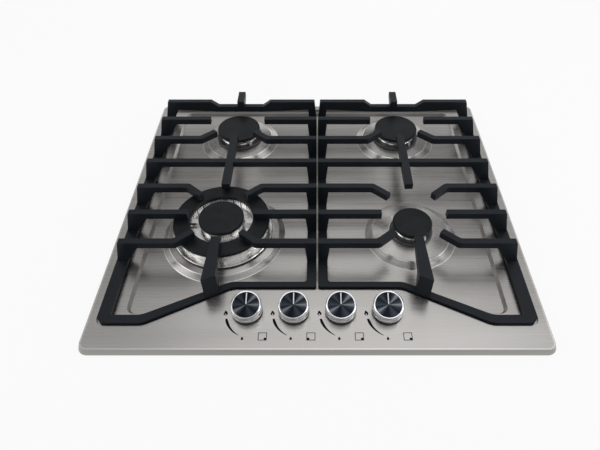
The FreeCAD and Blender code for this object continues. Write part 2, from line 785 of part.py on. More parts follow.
def make_bottom_box():
    """Sheet steel box under the plate, with a flange, vents and the gas inlet's hole."""
    body = new_body("bottom_box")
    tray = box_outline(new_sketch(body, offset=-box_bottom), 0)
    pad(body, tray, box_top + box_bottom)
    rim = box_outline(new_sketch(body, offset=box_top), box_flange)
    pad(body, rim, box_wall, reverse=True)
    room = box_outline(new_sketch(body, offset=box_top), -box_wall)
    pocket(body, room, box_top + box_bottom - box_wall)

    slot = rectangle(new_sketch(body, offset=-box_bottom + box_wall), vent_x,
                     vent_x + vent_width, -vent_length / 2, vent_length / 2)
    vent = pocket(body, slot, box_wall * 2)
    repeat_along(body, vent, "X_Axis", vent_pitch * (VENTS - 1), VENTS)

    for x, y in screw_places():
        hole = circle(new_sketch(body, offset=box_top), x, y, screw_radius + screw_gap)
        pocket(body, hole, box_wall * 2)
    inlet = circle(new_sketch(body, "XZ_Plane", offset=-box_rear), inlet_x, -manifold_drop,
                   inlet_thread + screw_gap)
    pocket(body, inlet, box_wall * 2, centred=True)
    for side, y in clamp_places():
        sketch = new_sketch(body, "YZ_Plane", offset=side * box_side)
        hole = circle(sketch, y, clamp_screw_height(), screw_radius + screw_gap)
        pocket(body, hole, box_wall * 3, centred=True)
    keep("bottom_box", body)


def screw_places():
    """Screws through the box's flange."""
    x = box_side + box_flange / 2
    return [(side * x, row * screw_y) for side in (LEFT, RIGHT) for row in (LEFT, RIGHT)]


def clamp_places():
    """Side of the box and distance from the middle of each worktop clamp."""
    return [(side, end * clamp_y) for side in (LEFT, RIGHT) for end in (LEFT, RIGHT)]


def clamp_screw_height():
    return clamp_screw - clamp_drop


def screw(name, shank, x, y, z, rotation=None):
    """A pan-head screw whose shank points up from its head."""
    length = screw_head_height + shank
    profile = [
        (0, 0),
        (screw_head, 0),
        (screw_head, screw_head_height),
        (screw_radius, screw_head_height),
        (screw_radius, length),
        (0, length),
    ]
    return turned(name, profile, x, y, z, rotation)


def make_box_screws():
    """Screws that hold the box's flange to the plate."""
    head_z = box_top - box_wall - screw_head_height
    screws = [screw(f"box_screw_{index}", box_wall, x, y, head_z)
              for index, (x, y) in enumerate(screw_places(), start=1)]
    keep("box_screws", together("Compound", "box_screws", screws))


def make_clamps():
    """Angled steel strips on the box's sides that grip the worktop from below."""
    clamps = []
    screws = []
    for index, (side, y) in enumerate(clamp_places(), start=1):
        clamp = new_body(f"clamp_{index}")
        face = side * box_side
        section = [
            (face, -clamp_drop),
            (face + side * clamp_reach, -clamp_drop),
            (face + side * clamp_reach, clamp_wall - clamp_drop),
            (face + side * clamp_wall, clamp_wall - clamp_drop),
            (face + side * clamp_wall, clamp_height - clamp_drop),
            (face, clamp_height - clamp_drop),
        ]
        sketch = polygon(new_sketch(clamp, "XZ_Plane", offset=-y), section)
        pad(clamp, sketch, clamp_width, centred=True)
        hole = circle(new_sketch(clamp, "YZ_Plane", offset=face), y, clamp_screw_height(),
                      screw_radius + screw_gap)
        pocket(clamp, hole, clamp_wall * 3, centred=True)
        clamps.append(clamp)
        turn = FreeCAD.Rotation(FreeCAD.Vector(0, 1, 0), -90 * side)
        head_x = face + side * (clamp_wall + screw_head_height)
        screws.append(screw(f"clamp_screw_{index}", clamp_wall + box_wall * 2, head_x, y,
                            clamp_screw_height(), turn))
    keep("mounting_clamps", together("Compound", "mounting_clamps", clamps))
    keep("clamp_screws", together("Compound", "clamp_screws", screws))


# --------------------------------------------------------------------------------------
# Burners
# --------------------------------------------------------------------------------------

def make_cup(burner):
    """Cast cup with the flange that the head stands on and its mixing chamber below."""
    bottom = hub_top - cup_depth
    profile = [
        (0, bottom),
        (burner.cup, bottom),
        (burner.cup, hub_top),
        (burner.flange, hub_top),
        (burner.flange, cup_top - cup_edge),
        (burner.flange - cup_edge, cup_top),
        (burner.bore, cup_top),
        (burner.bore, bottom + cup_wall),
        (0, bottom + cup_wall),
    ]
    name = f"burner_cup_{burner.name}"
    body = new_body(name)
    revolve(body, profile)
    hole = circle(new_sketch(body, offset=cup_top), burner.spark_x - burner.x,
                  burner.spark_y - burner.y, spark_radius + screw_gap)
    pocket(body, hole, cup_height * 2)
    keep(name, place(body, burner.x, burner.y))


def ports(body, start, length, top, count):
    """Flame slots cut outwards through a crown from its top edge."""
    sketch = rectangle(new_sketch(body, "YZ_Plane", offset=start), -port_width / 2,
                       port_width / 2, top - port_depth, top + spare)
    slot = pocket(body, sketch, length, reverse=True)
    repeat_round(body, slot, count)


def make_head(burner):
    """Aluminium head: mixing throat, floor and a crown with flame slots."""
    base = cup_top + seat_gap
    top = base + head_height
    inner = burner.throat - head_wall
    profile = [
        (inner, base - throat_length),
        (burner.throat, base - throat_length),
        (burner.throat, base),
        (burner.head + head_flare, base),
        (burner.head + head_flare, base + head_floor),
        (burner.head, base + head_floor + head_flare),
        (burner.head, top),
        (burner.head - head_wall, top),
        (burner.head - head_wall, base + head_floor),
        (inner, base + head_floor),
    ]
    name = f"burner_head_{burner.name}"
    body = new_body(name)
    revolve(body, profile)
    ports(body, burner.head - head_wall * 2, head_wall * 3, top, PORTS)
    keep(name, place(body, burner.x, burner.y))


def make_ring_head():
    """Three-ring head: an outer crown with two walls, a sunk deck and a middle crown."""
    burner = ring_burner
    base = cup_top + seat_gap
    top = base + ring_head_height
    deck = top - port_depth
    core_top = top + core_rise
    floor = base + head_floor
    hole = burner.throat - head_wall
    core = core_cap_radius - head_inset / 2
    inner_wall = ring_cap_inner + hole_gap
    profile = [
        (hole, base - throat_length),
        (burner.throat, base - throat_length),
        (burner.throat, base),
        (burner.head + head_flare, base),
        (burner.head + head_flare, floor),
        (burner.head, floor + head_flare),
        (burner.head, top),
        (burner.head - head_wall, top),
        (burner.head - head_wall, floor),
        (inner_wall + head_wall, floor),
        (inner_wall + head_wall, top),
        (inner_wall, top),
        (inner_wall, deck),
        (core, deck),
        (core, core_top),
        (core - head_wall, core_top),
        (core - head_wall, floor),
        (hole, floor),
    ]
    name = f"burner_head_{burner.name}"
    body = new_body(name)
    revolve(body, profile)
    start = inner_wall - head_wall
    ports(body, start, burner.head + head_wall - start, top, RING_PORTS)
    ports(body, core - head_wall * 2, head_wall * 3, core_top, CORE_PORTS)
    bridge = rectangle(new_sketch(body, offset=deck), core - spare, inner_wall + spare,
                       -bridge_width / 2, bridge_width / 2)
    repeat_round(body, pad(body, bridge, top - deck), BRIDGES)
    keep(name, place(body, burner.x, burner.y))


def cap_profile(radius, lip_radius, base, top, inner=0.0):
    """Half section of a cap that lies on its crown and is centred by a lip inside it."""
    profile = [
        (lip_radius - cap_lip, base),
        (lip_radius - cap_lip, base - cap_lip),
        (lip_radius, base - cap_lip),
        (lip_radius, base),
        (radius, base),
        (radius, top - cap_edge),
        (radius - cap_edge / 3, top - cap_edge / 3),
        (radius - cap_edge, top),
    ]
    if float(inner) > 0:
        bevel = [(inner + cap_edge, top), (inner, top - cap_edge), (inner, base)]
        return profile + bevel
    return profile + [(0, top + cap_edge / 3), (0, base)]


def make_caps():
    """Enamelled caps, each on the crown of its head."""
    crown_top = cup_top + seat_gap + head_height
    for burner in burners:
        lip = burner.head - head_wall - cap_lip / 4
        base = crown_top + seat_gap
        profile = cap_profile(burner.cap_radius, lip, base, base + cap_thickness)
        name = f"burner_cap_{burner.name}"
        keep(name, turned(name, profile, burner.x, burner.y))

    ring_base = cup_top + seat_gap + ring_head_height + seat_gap
    lip = ring_burner.head - head_wall - cap_lip / 4
    profile = cap_profile(ring_cap_radius, lip, ring_base, ring_base + cap_thickness,
                          ring_cap_inner)
    keep("burner_cap_ring",
         turned("burner_cap_ring", profile, ring_burner.x, ring_burner.y))

    core_base = ring_base + core_rise
    core_lip = core_cap_radius - head_inset / 2 - head_wall - cap_lip / 4
    profile = cap_profile(core_cap_radius, core_lip, core_base, core_base + cap_thickness)
    keep("burner_cap_core",
         turned("burner_cap_core", profile, ring_burner.x, ring_burner.y))


def make_sparks():
    """Ceramic spark electrodes that stand in the cups' flanges, under the caps' edges."""
    electrodes = []
    for burner in all_burners:
        ceramic = spark_above + spark_below
        profile = [
            (0, -spark_below),
            (spark_radius, -spark_below),
            (spark_radius, spark_above),
            (pin_radius, spark_above),
            (pin_radius, spark_above + spark_tip),
            (0, spark_above + spark_tip),
        ]
        name = f"electrode_{burner.name}"
        electrodes.append(turned(name, profile, burner.spark_x, burner.spark_y))
    keep("spark_electrodes", together("Compound", "spark_electrodes", electrodes))


def make_injectors():
    """Brass jets on the floors of the cups."""
    jets = []
    for burner in all_burners:
        floor = hub_top - cup_depth + cup_wall
        profile = [
            (0, floor),
            (jet_radius, floor),
            (jet_radius, floor + jet_height / 2),
            (jet_tip, floor + jet_height),
            (0, floor + jet_height),
        ]
        jets.append(turned(f"injector_{burner.name}", profile, burner.x, burner.y))
    keep("injectors", together("Compound", "injectors", jets))


# --------------------------------------------------------------------------------------
# Grates: the cast iron grilles
# --------------------------------------------------------------------------------------

def frame_outline(side):
    """Low frame of a grate: side bar, stepped front bar and middle bar, open at the rear."""
    rear = rail_y + finger_width / 2
    corner_shift = turn_lean * corner_bar
    flat_shift = turn_lean * flat_bar
    outline = [
        (grate_side, rear),
        (grate_side, -grate_front),
        (corner_end, -grate_front),
        (flat_end, -grate_flat),
        (inner_end, -grate_flat),
        (inner_end, rear),
        (inner_end + inner_bar, rear),
        (inner_end + inner_bar, flat_bar - grate_flat),
        (flat_end + flat_shift, flat_bar - grate_flat),
        (corner_end + corner_shift, corner_bar - grate_front),
        (grate_side - side_bar, corner_bar - grate_front),
        (grate_side - side_bar, rear),
    ]
    return [(side * x, y) for x, y in outline]


def straight_finger(start, length, y):
    """Plan of a straight finger: start, signed length towards its tip, and its row."""
    half = finger_width / 2
    return [(start, y - half), (start + length, y - half),
            (start + length, y + half), (start, y + half)]


def bent_finger(start, heading, length, y, rise):
    """Plan of a finger whose last stretch turns towards the burner."""
    half = finger_width / 2
    slant = hypotenuse(bend_run, bend_rise)
    along = half * bend_rise / slant
    across = half * bend_run / slant
    lean = bend_lean * half
    outline = [
        (0, -half),
        (length + lean, -half),
        (length + bend_run + along, bend_rise - across),
        (length + bend_run - along, bend_rise + across),
        (length - lean, half),
        (0, half),
    ]
    return [(start + heading * u, y + rise * v) for u, v in outline]


def fingers_of_row(side, row):
    """Plans of the fingers in one row of a grate, from outside and from the middle."""
    outer = side * outer_end
    inner = side * inner_end
    y = row_y[row]
    if row == 3:
        return [straight_finger(outer, inner - outer, y)]
    if row in (1, 5):
        reach_out = outer_end - burner_x - tip_distance
        reach_in = burner_x - tip_distance - inner_end
        return [straight_finger(outer, -side * reach_out, y),
                straight_finger(inner, side * reach_in, y)]
    rise = -1 if row == 4 else 1
    reach_out = outer_end - burner_x - bend_reach
    reach_in = burner_x - bend_reach - inner_end
    return [bent_finger(outer, -side, reach_out, y, rise),
            bent_finger(inner, side, reach_in, y, rise)]


def posts_of_row(side):
    """Elevation of the posts that carry a row: a leaning side post and a middle post."""
    outer_post = [
        (grate_side, frame_low),
        (outer_end, grate_top),
        (outer_end - post_top, grate_top),
        (outer_end - post_top, finger_low),
        (grate_side - side_bar, frame_high),
        (grate_side - side_bar, frame_low),
    ]
    inner_post = [
        (inner_end, frame_low),
        (inner_end + inner_bar, frame_low),
        (inner_end + inner_bar, frame_high),
        (inner_end + inner_post_top, finger_low),
        (inner_end + inner_post_top, grate_top),
        (inner_end, grate_top),
    ]
    return [[(side * x, z) for x, z in post] for post in (outer_post, inner_post)]


def rail_elevation(side):
    """Rear rail seen from the front: two legs, raised ends and a lowered middle."""
    low = grate_top - rail_depth
    sag_top = grate_top - rail_sag
    belly = low - rail_belly
    outline = [
        (grate_side, frame_low),
        (outer_end, grate_top),
        (burner_x + sag_outer + sag_slope, grate_top),
        (burner_x + sag_outer, sag_top),
        (burner_x - sag_outer, sag_top),
        (burner_x - sag_outer - sag_slope, grate_top),
        (rail_end, grate_top),
        (inner_end, frame_low),
        (inner_end + inner_bar, frame_low),
        (inner_end + inner_post_top, low),
        (burner_x - sag_outer, belly),
        (burner_x + sag_outer, belly),
        (outer_end - side_bar, low),
        (grate_side - side_bar, frame_high),
        (grate_side - side_bar, frame_low),
    ]
    return [(side * x, z) for x, z in outline]


def front_finger(body, side):
    """Front finger on its foot, which widens towards the front bar."""
    tip = -burner_front - tip_distance
    slope = (grate_front - grate_flat) / (corner_end - flat_end)
    foot = -grate_flat - (burner_x + front_flare / 2 - flat_end) * slope
    elevation = [
        (tip, grate_top),
        (tip, finger_low + front_slope),
        (foot + corner_bar * 2, finger_low - front_slope),
        (foot + corner_bar, frame_high),
        (foot + corner_bar, frame_low),
        (foot, frame_low),
        (foot + front_lean, grate_top),
    ]
    sketch = new_sketch(body, "YZ_Plane", offset=side * burner_x)
    pad(body, polygon(sketch, elevation), front_flare, centred=True)
    for edge in (LEFT, RIGHT):
        centre = side * burner_x
        wedge = [
            (centre + edge * long_width / 2, tip + spare),
            (centre + edge * front_flare, tip + spare),
            (centre + edge * front_flare, foot - spare),
            (centre + edge * front_flare / 2, foot - spare),
        ]
        sketch = polygon(new_sketch(body, offset=grate_top + spare), wedge)
        pocket(body, sketch, grate_top)
    beyond = [
        (side * flat_end, -grate_flat),
        (side * corner_end, -grate_front),
        (side * corner_end, -grate_front - front_flare),
        (side * flat_end, -grate_front - front_flare),
    ]
    sketch = polygon(new_sketch(body, offset=grate_top + spare), beyond)
    pocket(body, sketch, grate_top)


def make_grate(side, name):
    """One cast iron grate: frame, posts, rear rail and all its fingers in one casting."""
    body = new_body(name)
    front_finger(body, side)
    bend = field_bend - recess_gap
    outside = [0, field_corner, bend, bend, frame_round, 0]
    inside = [0, frame_round, bend, bend, frame_round, 0]
    sketch = new_sketch(body, offset=frame_low)
    frame = rounded(sketch, frame_outline(side), outside + inside)
    pad(body, frame, frame_height)

    for row, y in row_y.items():
        sketch = new_sketch(body, "XZ_Plane", offset=-y)
        for post in posts_of_row(side):
            polygon(sketch, post)
        pad(body, sketch, finger_width, centred=True)
        plan = new_sketch(body, offset=finger_low)
        for finger in fingers_of_row(side, row):
            bent = row in (2, 4, 6)
            rounded(plan, finger, [0, bend_radius, 0] * 2 if bent else [0] * 4)
        pad(body, plan, finger_depth)

    rail = polygon(new_sketch(body, "XZ_Plane", offset=-rail_y), rail_elevation(side))
    pad(body, rail, finger_width, centred=True)

    centre = side * burner_x
    half = long_width / 2
    long_finger = rectangle(new_sketch(body, offset=finger_low), centre - half,
                            centre + half, free_end - burner_front,
                            burner_rear - tip_distance)
    pad(body, long_finger, finger_depth)

    front_face = rail_y - finger_width / 2
    back = rail_y + finger_width / 2 + rear_finger
    sag_top = grate_top - rail_sag
    elevation = [
        (front_face, sag_top - rear_taper),
        (front_face + rear_lean, grate_top),
        (back, grate_top),
        (back, finger_low + rear_taper),
        (rail_y + finger_width / 2, sag_top - rail_sag),
    ]
    sketch = polygon(new_sketch(body, "YZ_Plane", offset=centre), elevation)
    pad(body, sketch, long_width, centred=True)
    keep(name, body)


def make_feet(side, name):
    """Rubber feet under the frame; the one over the dish is taller."""
    middle = inner_end + inner_bar / 2
    bar = grate_side - side_bar / 2
    rear = rail_y
    front = corner_bar / 2 - grate_front
    spots = [
        (bar, rear, recess_floor, foot_radius),
        (bar, front, recess_floor, foot_radius),
        (middle, flat_bar / 2 - grate_flat, recess_floor, flat_bar / 2),
        (middle, rear, dish_floor, foot_radius),
    ]
    feet = []
    for index, (x, y, floor, radius) in enumerate(spots, start=1):
        foot = cylinder(f"{name}_{index}", radius, frame_low - floor, side * x, y, floor)
        feet.append(foot)
    keep(name, together("Compound", name, feet))


# --------------------------------------------------------------------------------------
# Knobs and valves
# --------------------------------------------------------------------------------------

bezel_radius = knob_radius - knob_skirt - bezel_gap
knob_low = plate_height + press_travel + press_play
face_floor = knob_top - face_sink - face_thickness
stem_clear = stem_radius + stem_gap
stem_top = face_floor - stem_cover
neck_foot = neck_top - neck_height
spring_base = collar_base - spring_length
spring_seat = spring_base - touch_gap


def make_knob(number):
    """Turned metal knob: stepped side, bevelled rim, sunk face, skirt and inner hub."""
    hub = stem_clear + hub_wall
    ceiling = face_floor - knob_crown
    skirt = knob_radius - knob_skirt
    waist = knob_low + knob_waist
    profile = [
        (stem_clear, knob_low + hub_rise),
        (hub, knob_low + hub_rise),
        (hub, ceiling),
        (skirt, ceiling),
        (skirt, knob_low),
        (knob_radius, knob_low),
        (knob_radius, waist),
        (knob_radius - knob_step, waist + knob_step),
        (knob_radius - knob_step, knob_top - knob_bevel),
        (knob_radius - knob_rim + knob_step, knob_top),
        (knob_radius - knob_rim, knob_top),
        (knob_radius - knob_rim, face_floor),
        (0, face_floor),
        (0, stem_top + touch_gap),
        (stem_clear, stem_top + touch_gap),
    ]
    name = f"knob_{number}"
    keep(name, turned(name, profile, knob_x[number], -knob_front))

    disc = knob_radius - knob_rim - touch_gap
    face = [
        (0, face_floor),
        (disc, face_floor),
        (disc, knob_top - face_sink - face_edge),
        (disc - face_edge, knob_top - face_sink),
        (0, knob_top - face_sink),
    ]
    name = f"knob_face_{number}"
    keep(name, turned(name, face, knob_x[number], -knob_front))


def make_stem(number):
    """Valve stem with a shoulder over the collar and a flat for the knob."""
    bottom = spring_seat - stem_bore + stem_end_gap
    collar_top = collar_base + collar_height
    shoulder = (stem_radius + collar_radius) / 2
    profile = [
        (0, bottom),
        (stem_radius, bottom),
        (stem_radius, collar_top + touch_gap),
        (shoulder, collar_top + touch_gap),
        (shoulder, collar_top + shoulder_height),
        (stem_radius, collar_top + shoulder_height),
        (stem_radius, stem_top),
        (0, stem_top),
    ]
    name = f"valve_stem_{number}"
    body = new_body(name)
    revolve(body, profile)
    flat = rectangle(new_sketch(body, offset=stem_top), stem_across, stem_radius + spare,
                     -stem_radius - spare, stem_radius + spare)
    pocket(body, flat, stem_top - knob_low - hub_rise)
    keep(name, place(body, knob_x[number], -knob_front))


def ring(name, inner, outer, low, high, x, y):
    """A plain turned ring."""
    profile = [(inner, low), (outer, low), (outer, high), (inner, high)]
    return turned(name, profile, x, y)


def make_valve(number):
    """Valve body: a block with a neck, bored for the collar, the spring and the stem."""
    x = knob_x[number]
    name = f"valve_body_{number}"
    body = new_body(name)
    half = valve_width / 2
    square = rounded_rectangle(new_sketch(body, offset=neck_foot), -half, half, -half,
                               half, valve_corner)
    pad(body, square, valve_height, reverse=True)
    pad(body, circle(new_sketch(body, offset=neck_foot), 0, 0, neck_radius), neck_height)
    wide = circle(new_sketch(body, offset=neck_top), 0, 0, collar_radius + stem_gap)
    pocket(body, wide, neck_top - spring_seat)
    narrow = circle(new_sketch(body, offset=spring_seat), 0, 0, stem_clear)
    pocket(body, narrow, stem_bore)
    keep(name, place(body, x, -knob_front))

    collar_name = f"press_collar_{number}"
    keep(collar_name, ring(collar_name, stem_clear, collar_radius, collar_base,
                           collar_base + collar_height, x, -knob_front))
    spring_name = f"return_spring_{number}"
    keep(spring_name, ring(spring_name, stem_radius + spring_gap,
                           collar_radius - spring_gap, spring_base,
                           collar_base - touch_gap, x, -knob_front))


def make_bezels():
    """Bright rings on the plate that the knobs' skirts slide over."""
    bezels = [ring(f"bezel_{number}", bezel_radius - bezel_width, bezel_radius,
                   plate_height, plate_height + bezel_height, x, -knob_front)
              for number, x in knob_x.items()]
    keep("knob_bezels", together("Compound", "knob_bezels", bezels))


# --------------------------------------------------------------------------------------
# Gas supply and ignition inside the box
# --------------------------------------------------------------------------------------

def make_supply():
    """Supply tube behind the valves, and the threaded inlet in the rear wall."""
    y = -knob_front + valve_width / 2 + manifold_radius + touch_gap
    z = -manifold_drop
    start = knob_x[1] - valve_width
    fitting_y = box_rear - box_wall - inlet_body
    route = [(start, y, z), (inlet_x, y, z), (inlet_x, fitting_y, z)]
    keep("gas_manifold", bent_rod("gas_manifold", route, manifold_bend, manifold_radius))

    profile = [
        (0, 0),
        (inlet_neck, 0),
        (inlet_neck, inlet_socket),
        (inlet_nut, inlet_socket),
        (inlet_nut, inlet_body - touch_gap),
        (inlet_neck, inlet_body - touch_gap),
        (inlet_neck, inlet_body + box_wall),
        (inlet_thread, inlet_body + box_wall),
        (inlet_thread, inlet_body + box_wall + inlet_stub),
        (manifold_radius, inlet_body + box_wall + inlet_stub),
        (manifold_radius, inlet_socket),
        (0, inlet_socket),
    ]
    turn = FreeCAD.Rotation(FreeCAD.Vector(1, 0, 0), -90)
    keep("inlet_fitting", turned("inlet_fitting", profile, inlet_x, fitting_y, z, turn))


def make_pipes():
    """A pipe from each valve to the cup that it feeds."""
    fed = [ring_burner, burners[0], burners[1], burners[2]]
    pipes = []
    for number, burner in enumerate(fed, start=1):
        x = knob_x[number]
        start = -knob_front + valve_width / 2 + touch_gap
        side = LEFT if float(burner.x) < 0 else RIGHT
        end = burner.x - side * (burner.cup + touch_gap)
        depth = -pipe_drop
        route = [(x, start, depth), (x, burner.y, depth), (end, burner.y, depth)]
        pipes.append(bent_rod(f"gas_pipe_{number}", route, pipe_bend, pipe_radius))
    keep("gas_pipes", together("Compound", "gas_pipes", pipes))


def block(name, x_low, x_high, y_low, y_high, z_low, height):
    """A plain block."""
    body = new_body(name)
    sketch = rectangle(new_sketch(body, offset=z_low), x_low, x_high, y_low, y_high)
    pad(body, sketch, height)
    return body


def make_switches():
    """Ignition switches on the valve blocks, behind the necks."""
    switches = []
    low = -knob_front + neck_radius + touch_gap
    half = switch_width / 2
    for number, x in knob_x.items():
        switches.append(block(f"switch_{number}", x - half, x + half, low,
                              low + switch_depth, neck_foot + touch_gap, switch_height))
    keep("micro_switches", together("Compound", "micro_switches", switches))


def make_valve_rail():
    """Steel angle on the box's floor, in front of the valves."""
    floor = box_wall - box_bottom
    face = -knob_front - valve_width / 2 - touch_gap
    top = neck_foot - rail_wall * 2
    section = [
        (face, floor),
        (face, top),
        (face - rail_wall, top),
        (face - rail_wall, floor + rail_wall),
        (face - rail_foot, floor + rail_wall),
        (face - rail_foot, floor),
    ]
    body = new_body("valve_rail")
    sketch = polygon(new_sketch(body, "YZ_Plane"), section)
    pad(body, sketch, rail_reach * 2, centred=True)
    keep("valve_rail", body)


def make_ignition():
    """Spark generator on the box's floor and a lead to each electrode."""
    floor = box_wall - box_bottom
    half = module_width / 2
    module = block("ignition_module", -module_x - half, half - module_x, module_y,
                   module_y + module_depth, floor, module_height)
    keep("ignition_module", module)

    depth = -lead_drop
    end = -spark_below - touch_gap
    leads = []
    order = [ring_burner, burners[2], burners[1], burners[0]]
    for index, burner in enumerate(order):
        lane = lead_pitch * (index - 1.5) - module_x
        x = burner.spark_x
        y = burner.spark_y
        route = [(lane, module_y - touch_gap, depth), (lane, y, depth), (x, y, depth)]
        if burner is burners[1]:
            route[1:] = [(lane, y - lead_lane, depth), (x, y - lead_lane, depth),
                         (x, y, depth)]
        route.append((x, y, end))
        leads.append(bent_rod(f"lead_{burner.name}", route, lead_bend, lead_radius))
    keep("ignition_leads", together("Compound", "ignition_leads", leads))


# --------------------------------------------------------------------------------------
# Build, check and write
# --------------------------------------------------------------------------------------

make_top_plate()
make_worktop_seal()
make_bottom_box()
make_box_screws()
make_clamps()
for burner in all_burners:
    make_cup(burner)
for burner in burners:
    make_head(burner)
make_ring_head()
make_caps()
make_sparks()
make_injectors()
for side, hand in ((LEFT, "left"), (RIGHT, "right")):
    make_grate(side, f"grate_{hand}")
    make_feet(side, f"grate_feet_{hand}")
for number in knob_x:
    make_knob(number)
    make_stem(number)
    make_valve(number)
make_bezels()
make_supply()
make_pipes()
make_switches()
make_valve_rail()
make_ignition()
doc.recompute()

faults = [item.Name for item in doc.Objects if {"Invalid", "Error"} & set(item.State)]
faults += [label for label, piece in pieces.items()
           if piece.Shape.isNull() or not piece.Shape.isValid()]
if faults:
    raise RuntimeError("not built: " + ", ".join(faults))

os.makedirs("parts", exist_ok=True)
for label, piece in pieces.items():
    piece.Shape.exportStep(f"parts/{label}.step")
print(f"{len(pieces)} pieces written")
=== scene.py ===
import json
import math

import bpy
from mathutils import Euler, Matrix, Vector


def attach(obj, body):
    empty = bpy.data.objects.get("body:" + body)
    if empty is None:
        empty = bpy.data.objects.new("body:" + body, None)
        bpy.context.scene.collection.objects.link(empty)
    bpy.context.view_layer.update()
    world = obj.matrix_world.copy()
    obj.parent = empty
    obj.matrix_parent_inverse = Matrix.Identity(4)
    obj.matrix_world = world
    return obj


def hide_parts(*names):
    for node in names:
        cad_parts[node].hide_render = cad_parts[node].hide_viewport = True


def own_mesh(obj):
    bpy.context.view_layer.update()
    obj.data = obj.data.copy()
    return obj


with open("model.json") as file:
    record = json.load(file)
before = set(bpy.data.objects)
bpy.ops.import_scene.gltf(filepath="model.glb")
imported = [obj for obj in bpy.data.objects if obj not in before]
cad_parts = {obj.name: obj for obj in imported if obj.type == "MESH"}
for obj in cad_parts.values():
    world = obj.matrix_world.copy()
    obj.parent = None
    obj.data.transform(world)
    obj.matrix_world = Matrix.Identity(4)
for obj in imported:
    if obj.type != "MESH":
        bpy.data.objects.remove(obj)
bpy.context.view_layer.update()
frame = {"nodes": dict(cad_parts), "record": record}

MM = 0.001
BURNERS = {
    "rear_left": (-138.0, 163.5),
    "rear_right": (138.0, 163.5),
    "front_right": (138.0, -64.0),
    "front_left": (-138.0, -64.0),
}
KNOB_X = (-90.0, -30.0, 30.0, 90.0)
KNOB_Y = -204.5
PLATE_TOP = 8.0
TOP_Y = -206.0
TOP_Z = 25.6
TOP_LEAN = math.radians(14.0)
FACE_RADIUS = 17.2
CUT_OUT = (-0.2775, -0.243, 0.2775, 0.2475)
FLOOR_REACH = 4.0
FLOOR_Z = -0.0002
# Colour of the painted highlight rings along the pressings' creases
CREASE_HIGHLIGHT = (0.95, 0.94, 0.92, 1.0)

# Outline of the printed marks, from a knob's axis, in millimetres
HIGH_PLACE = (-27.4, -2.4)
HIGH_HOLE = (-27.4, -4.2)
LOW_PLACE = (-2.9, -39.2)
ARC_START = (-25.6, -11.0)
ARC_END = (-7.6, -34.9)
ARC_BULGE = (-21.6, -27.2)
SQUARE = (16.6, 27.6, -31.0, -42.0)

# A knob's skirt, from the room inside it to its waist: radius and height
SKIRT = ((18.8, 17.2), (18.8, 11.6), (19.7, 11.6), (20.0, 12.0), (20.0, 15.2), (19.5, 15.7),
         (19.5, 16.1), (19.9, 16.6))

# Round each pressing: level middle, foot, and the radii of the painted highlight rings at its
# creases
PRESSINGS = {
    "rear_left": (42.0, 67.5, (67.0, 57.0)),
    "rear_right": (42.0, 67.5, (67.0, 57.0)),
    "front_right": (34.0, 67.5, (67.0, 57.0)),
    "front_left": (74.0, 90.0, (89.5, 81.5)),
}

# Painted highlight and shade fans on the pressings: brightness round their axis, from 0 to 1
# turn
PAINTED_FAN_LIGHT = ((0.0, 0.62), (0.06, 0.50), (0.13, 0.66), (0.20, 0.46), (0.30, 0.60), (0.42, 0.50),
       (0.52, 0.62), (0.58, 0.80), (0.66, 0.98), (0.71, 0.62), (0.76, 0.52), (0.81, 0.62),
       (0.86, 0.88), (0.90, 0.60), (0.95, 0.50), (1.0, 0.62))


# --------------------------------------------------------------------------------------
# Camera, lamps and floor
# --------------------------------------------------------------------------------------

scene = bpy.context.scene
scene.view_settings.view_transform = "Standard"

camera_data = bpy.data.cameras.new("camera")
camera_data.sensor_width = 36.0
camera_data.lens = 29.99
camera_data.shift_x = -0.0288
camera_data.clip_start = 0.01
camera = bpy.data.objects.new("camera", camera_data)
camera.location = (0.0, -0.5622, 0.5535)
camera.rotation_euler = Euler((math.radians(43.06), 0.0, 0.0))
scene.collection.objects.link(camera)
scene.camera = camera


def area_lamp(name, place, target, width, depth, power, colour=(1.0, 1.0, 1.0)):
    """A rectangular soft lamp at a place, turned to a target."""
    data = bpy.data.lights.new(name, "AREA")
    data.shape = "RECTANGLE"
    data.size = width
    data.size_y = depth
    data.energy = power
    data.color = colour
    lamp = bpy.data.objects.new(name, data)
    lamp.location = place
    heading = Vector(target) - Vector(place)
    lamp.rotation_euler = heading.to_track_quat("-Z", "Y").to_euler()
    scene.collection.objects.link(lamp)


area_lamp("lamp_top", (0.25, 0.30, 1.5), (0.0, 0.0, 0.0), 1.8, 1.2, 5.0)
area_lamp("lamp_back", (0.0, 1.35, 0.50), (0.0, 0.0, 0.0), 2.2, 0.6, 2.0, (0.97, 0.98, 1.0))
area_lamp("lamp_left", (-1.3, -0.25, 0.9), (0.0, 0.0, 0.0), 0.9, 0.7, 2.6)
area_lamp("lamp_right", (1.3, -0.35, 0.8), (0.0, 0.0, 0.0), 0.7, 0.7, 3.0)


def link(tree, source, target):
    tree.links.new(source, target)


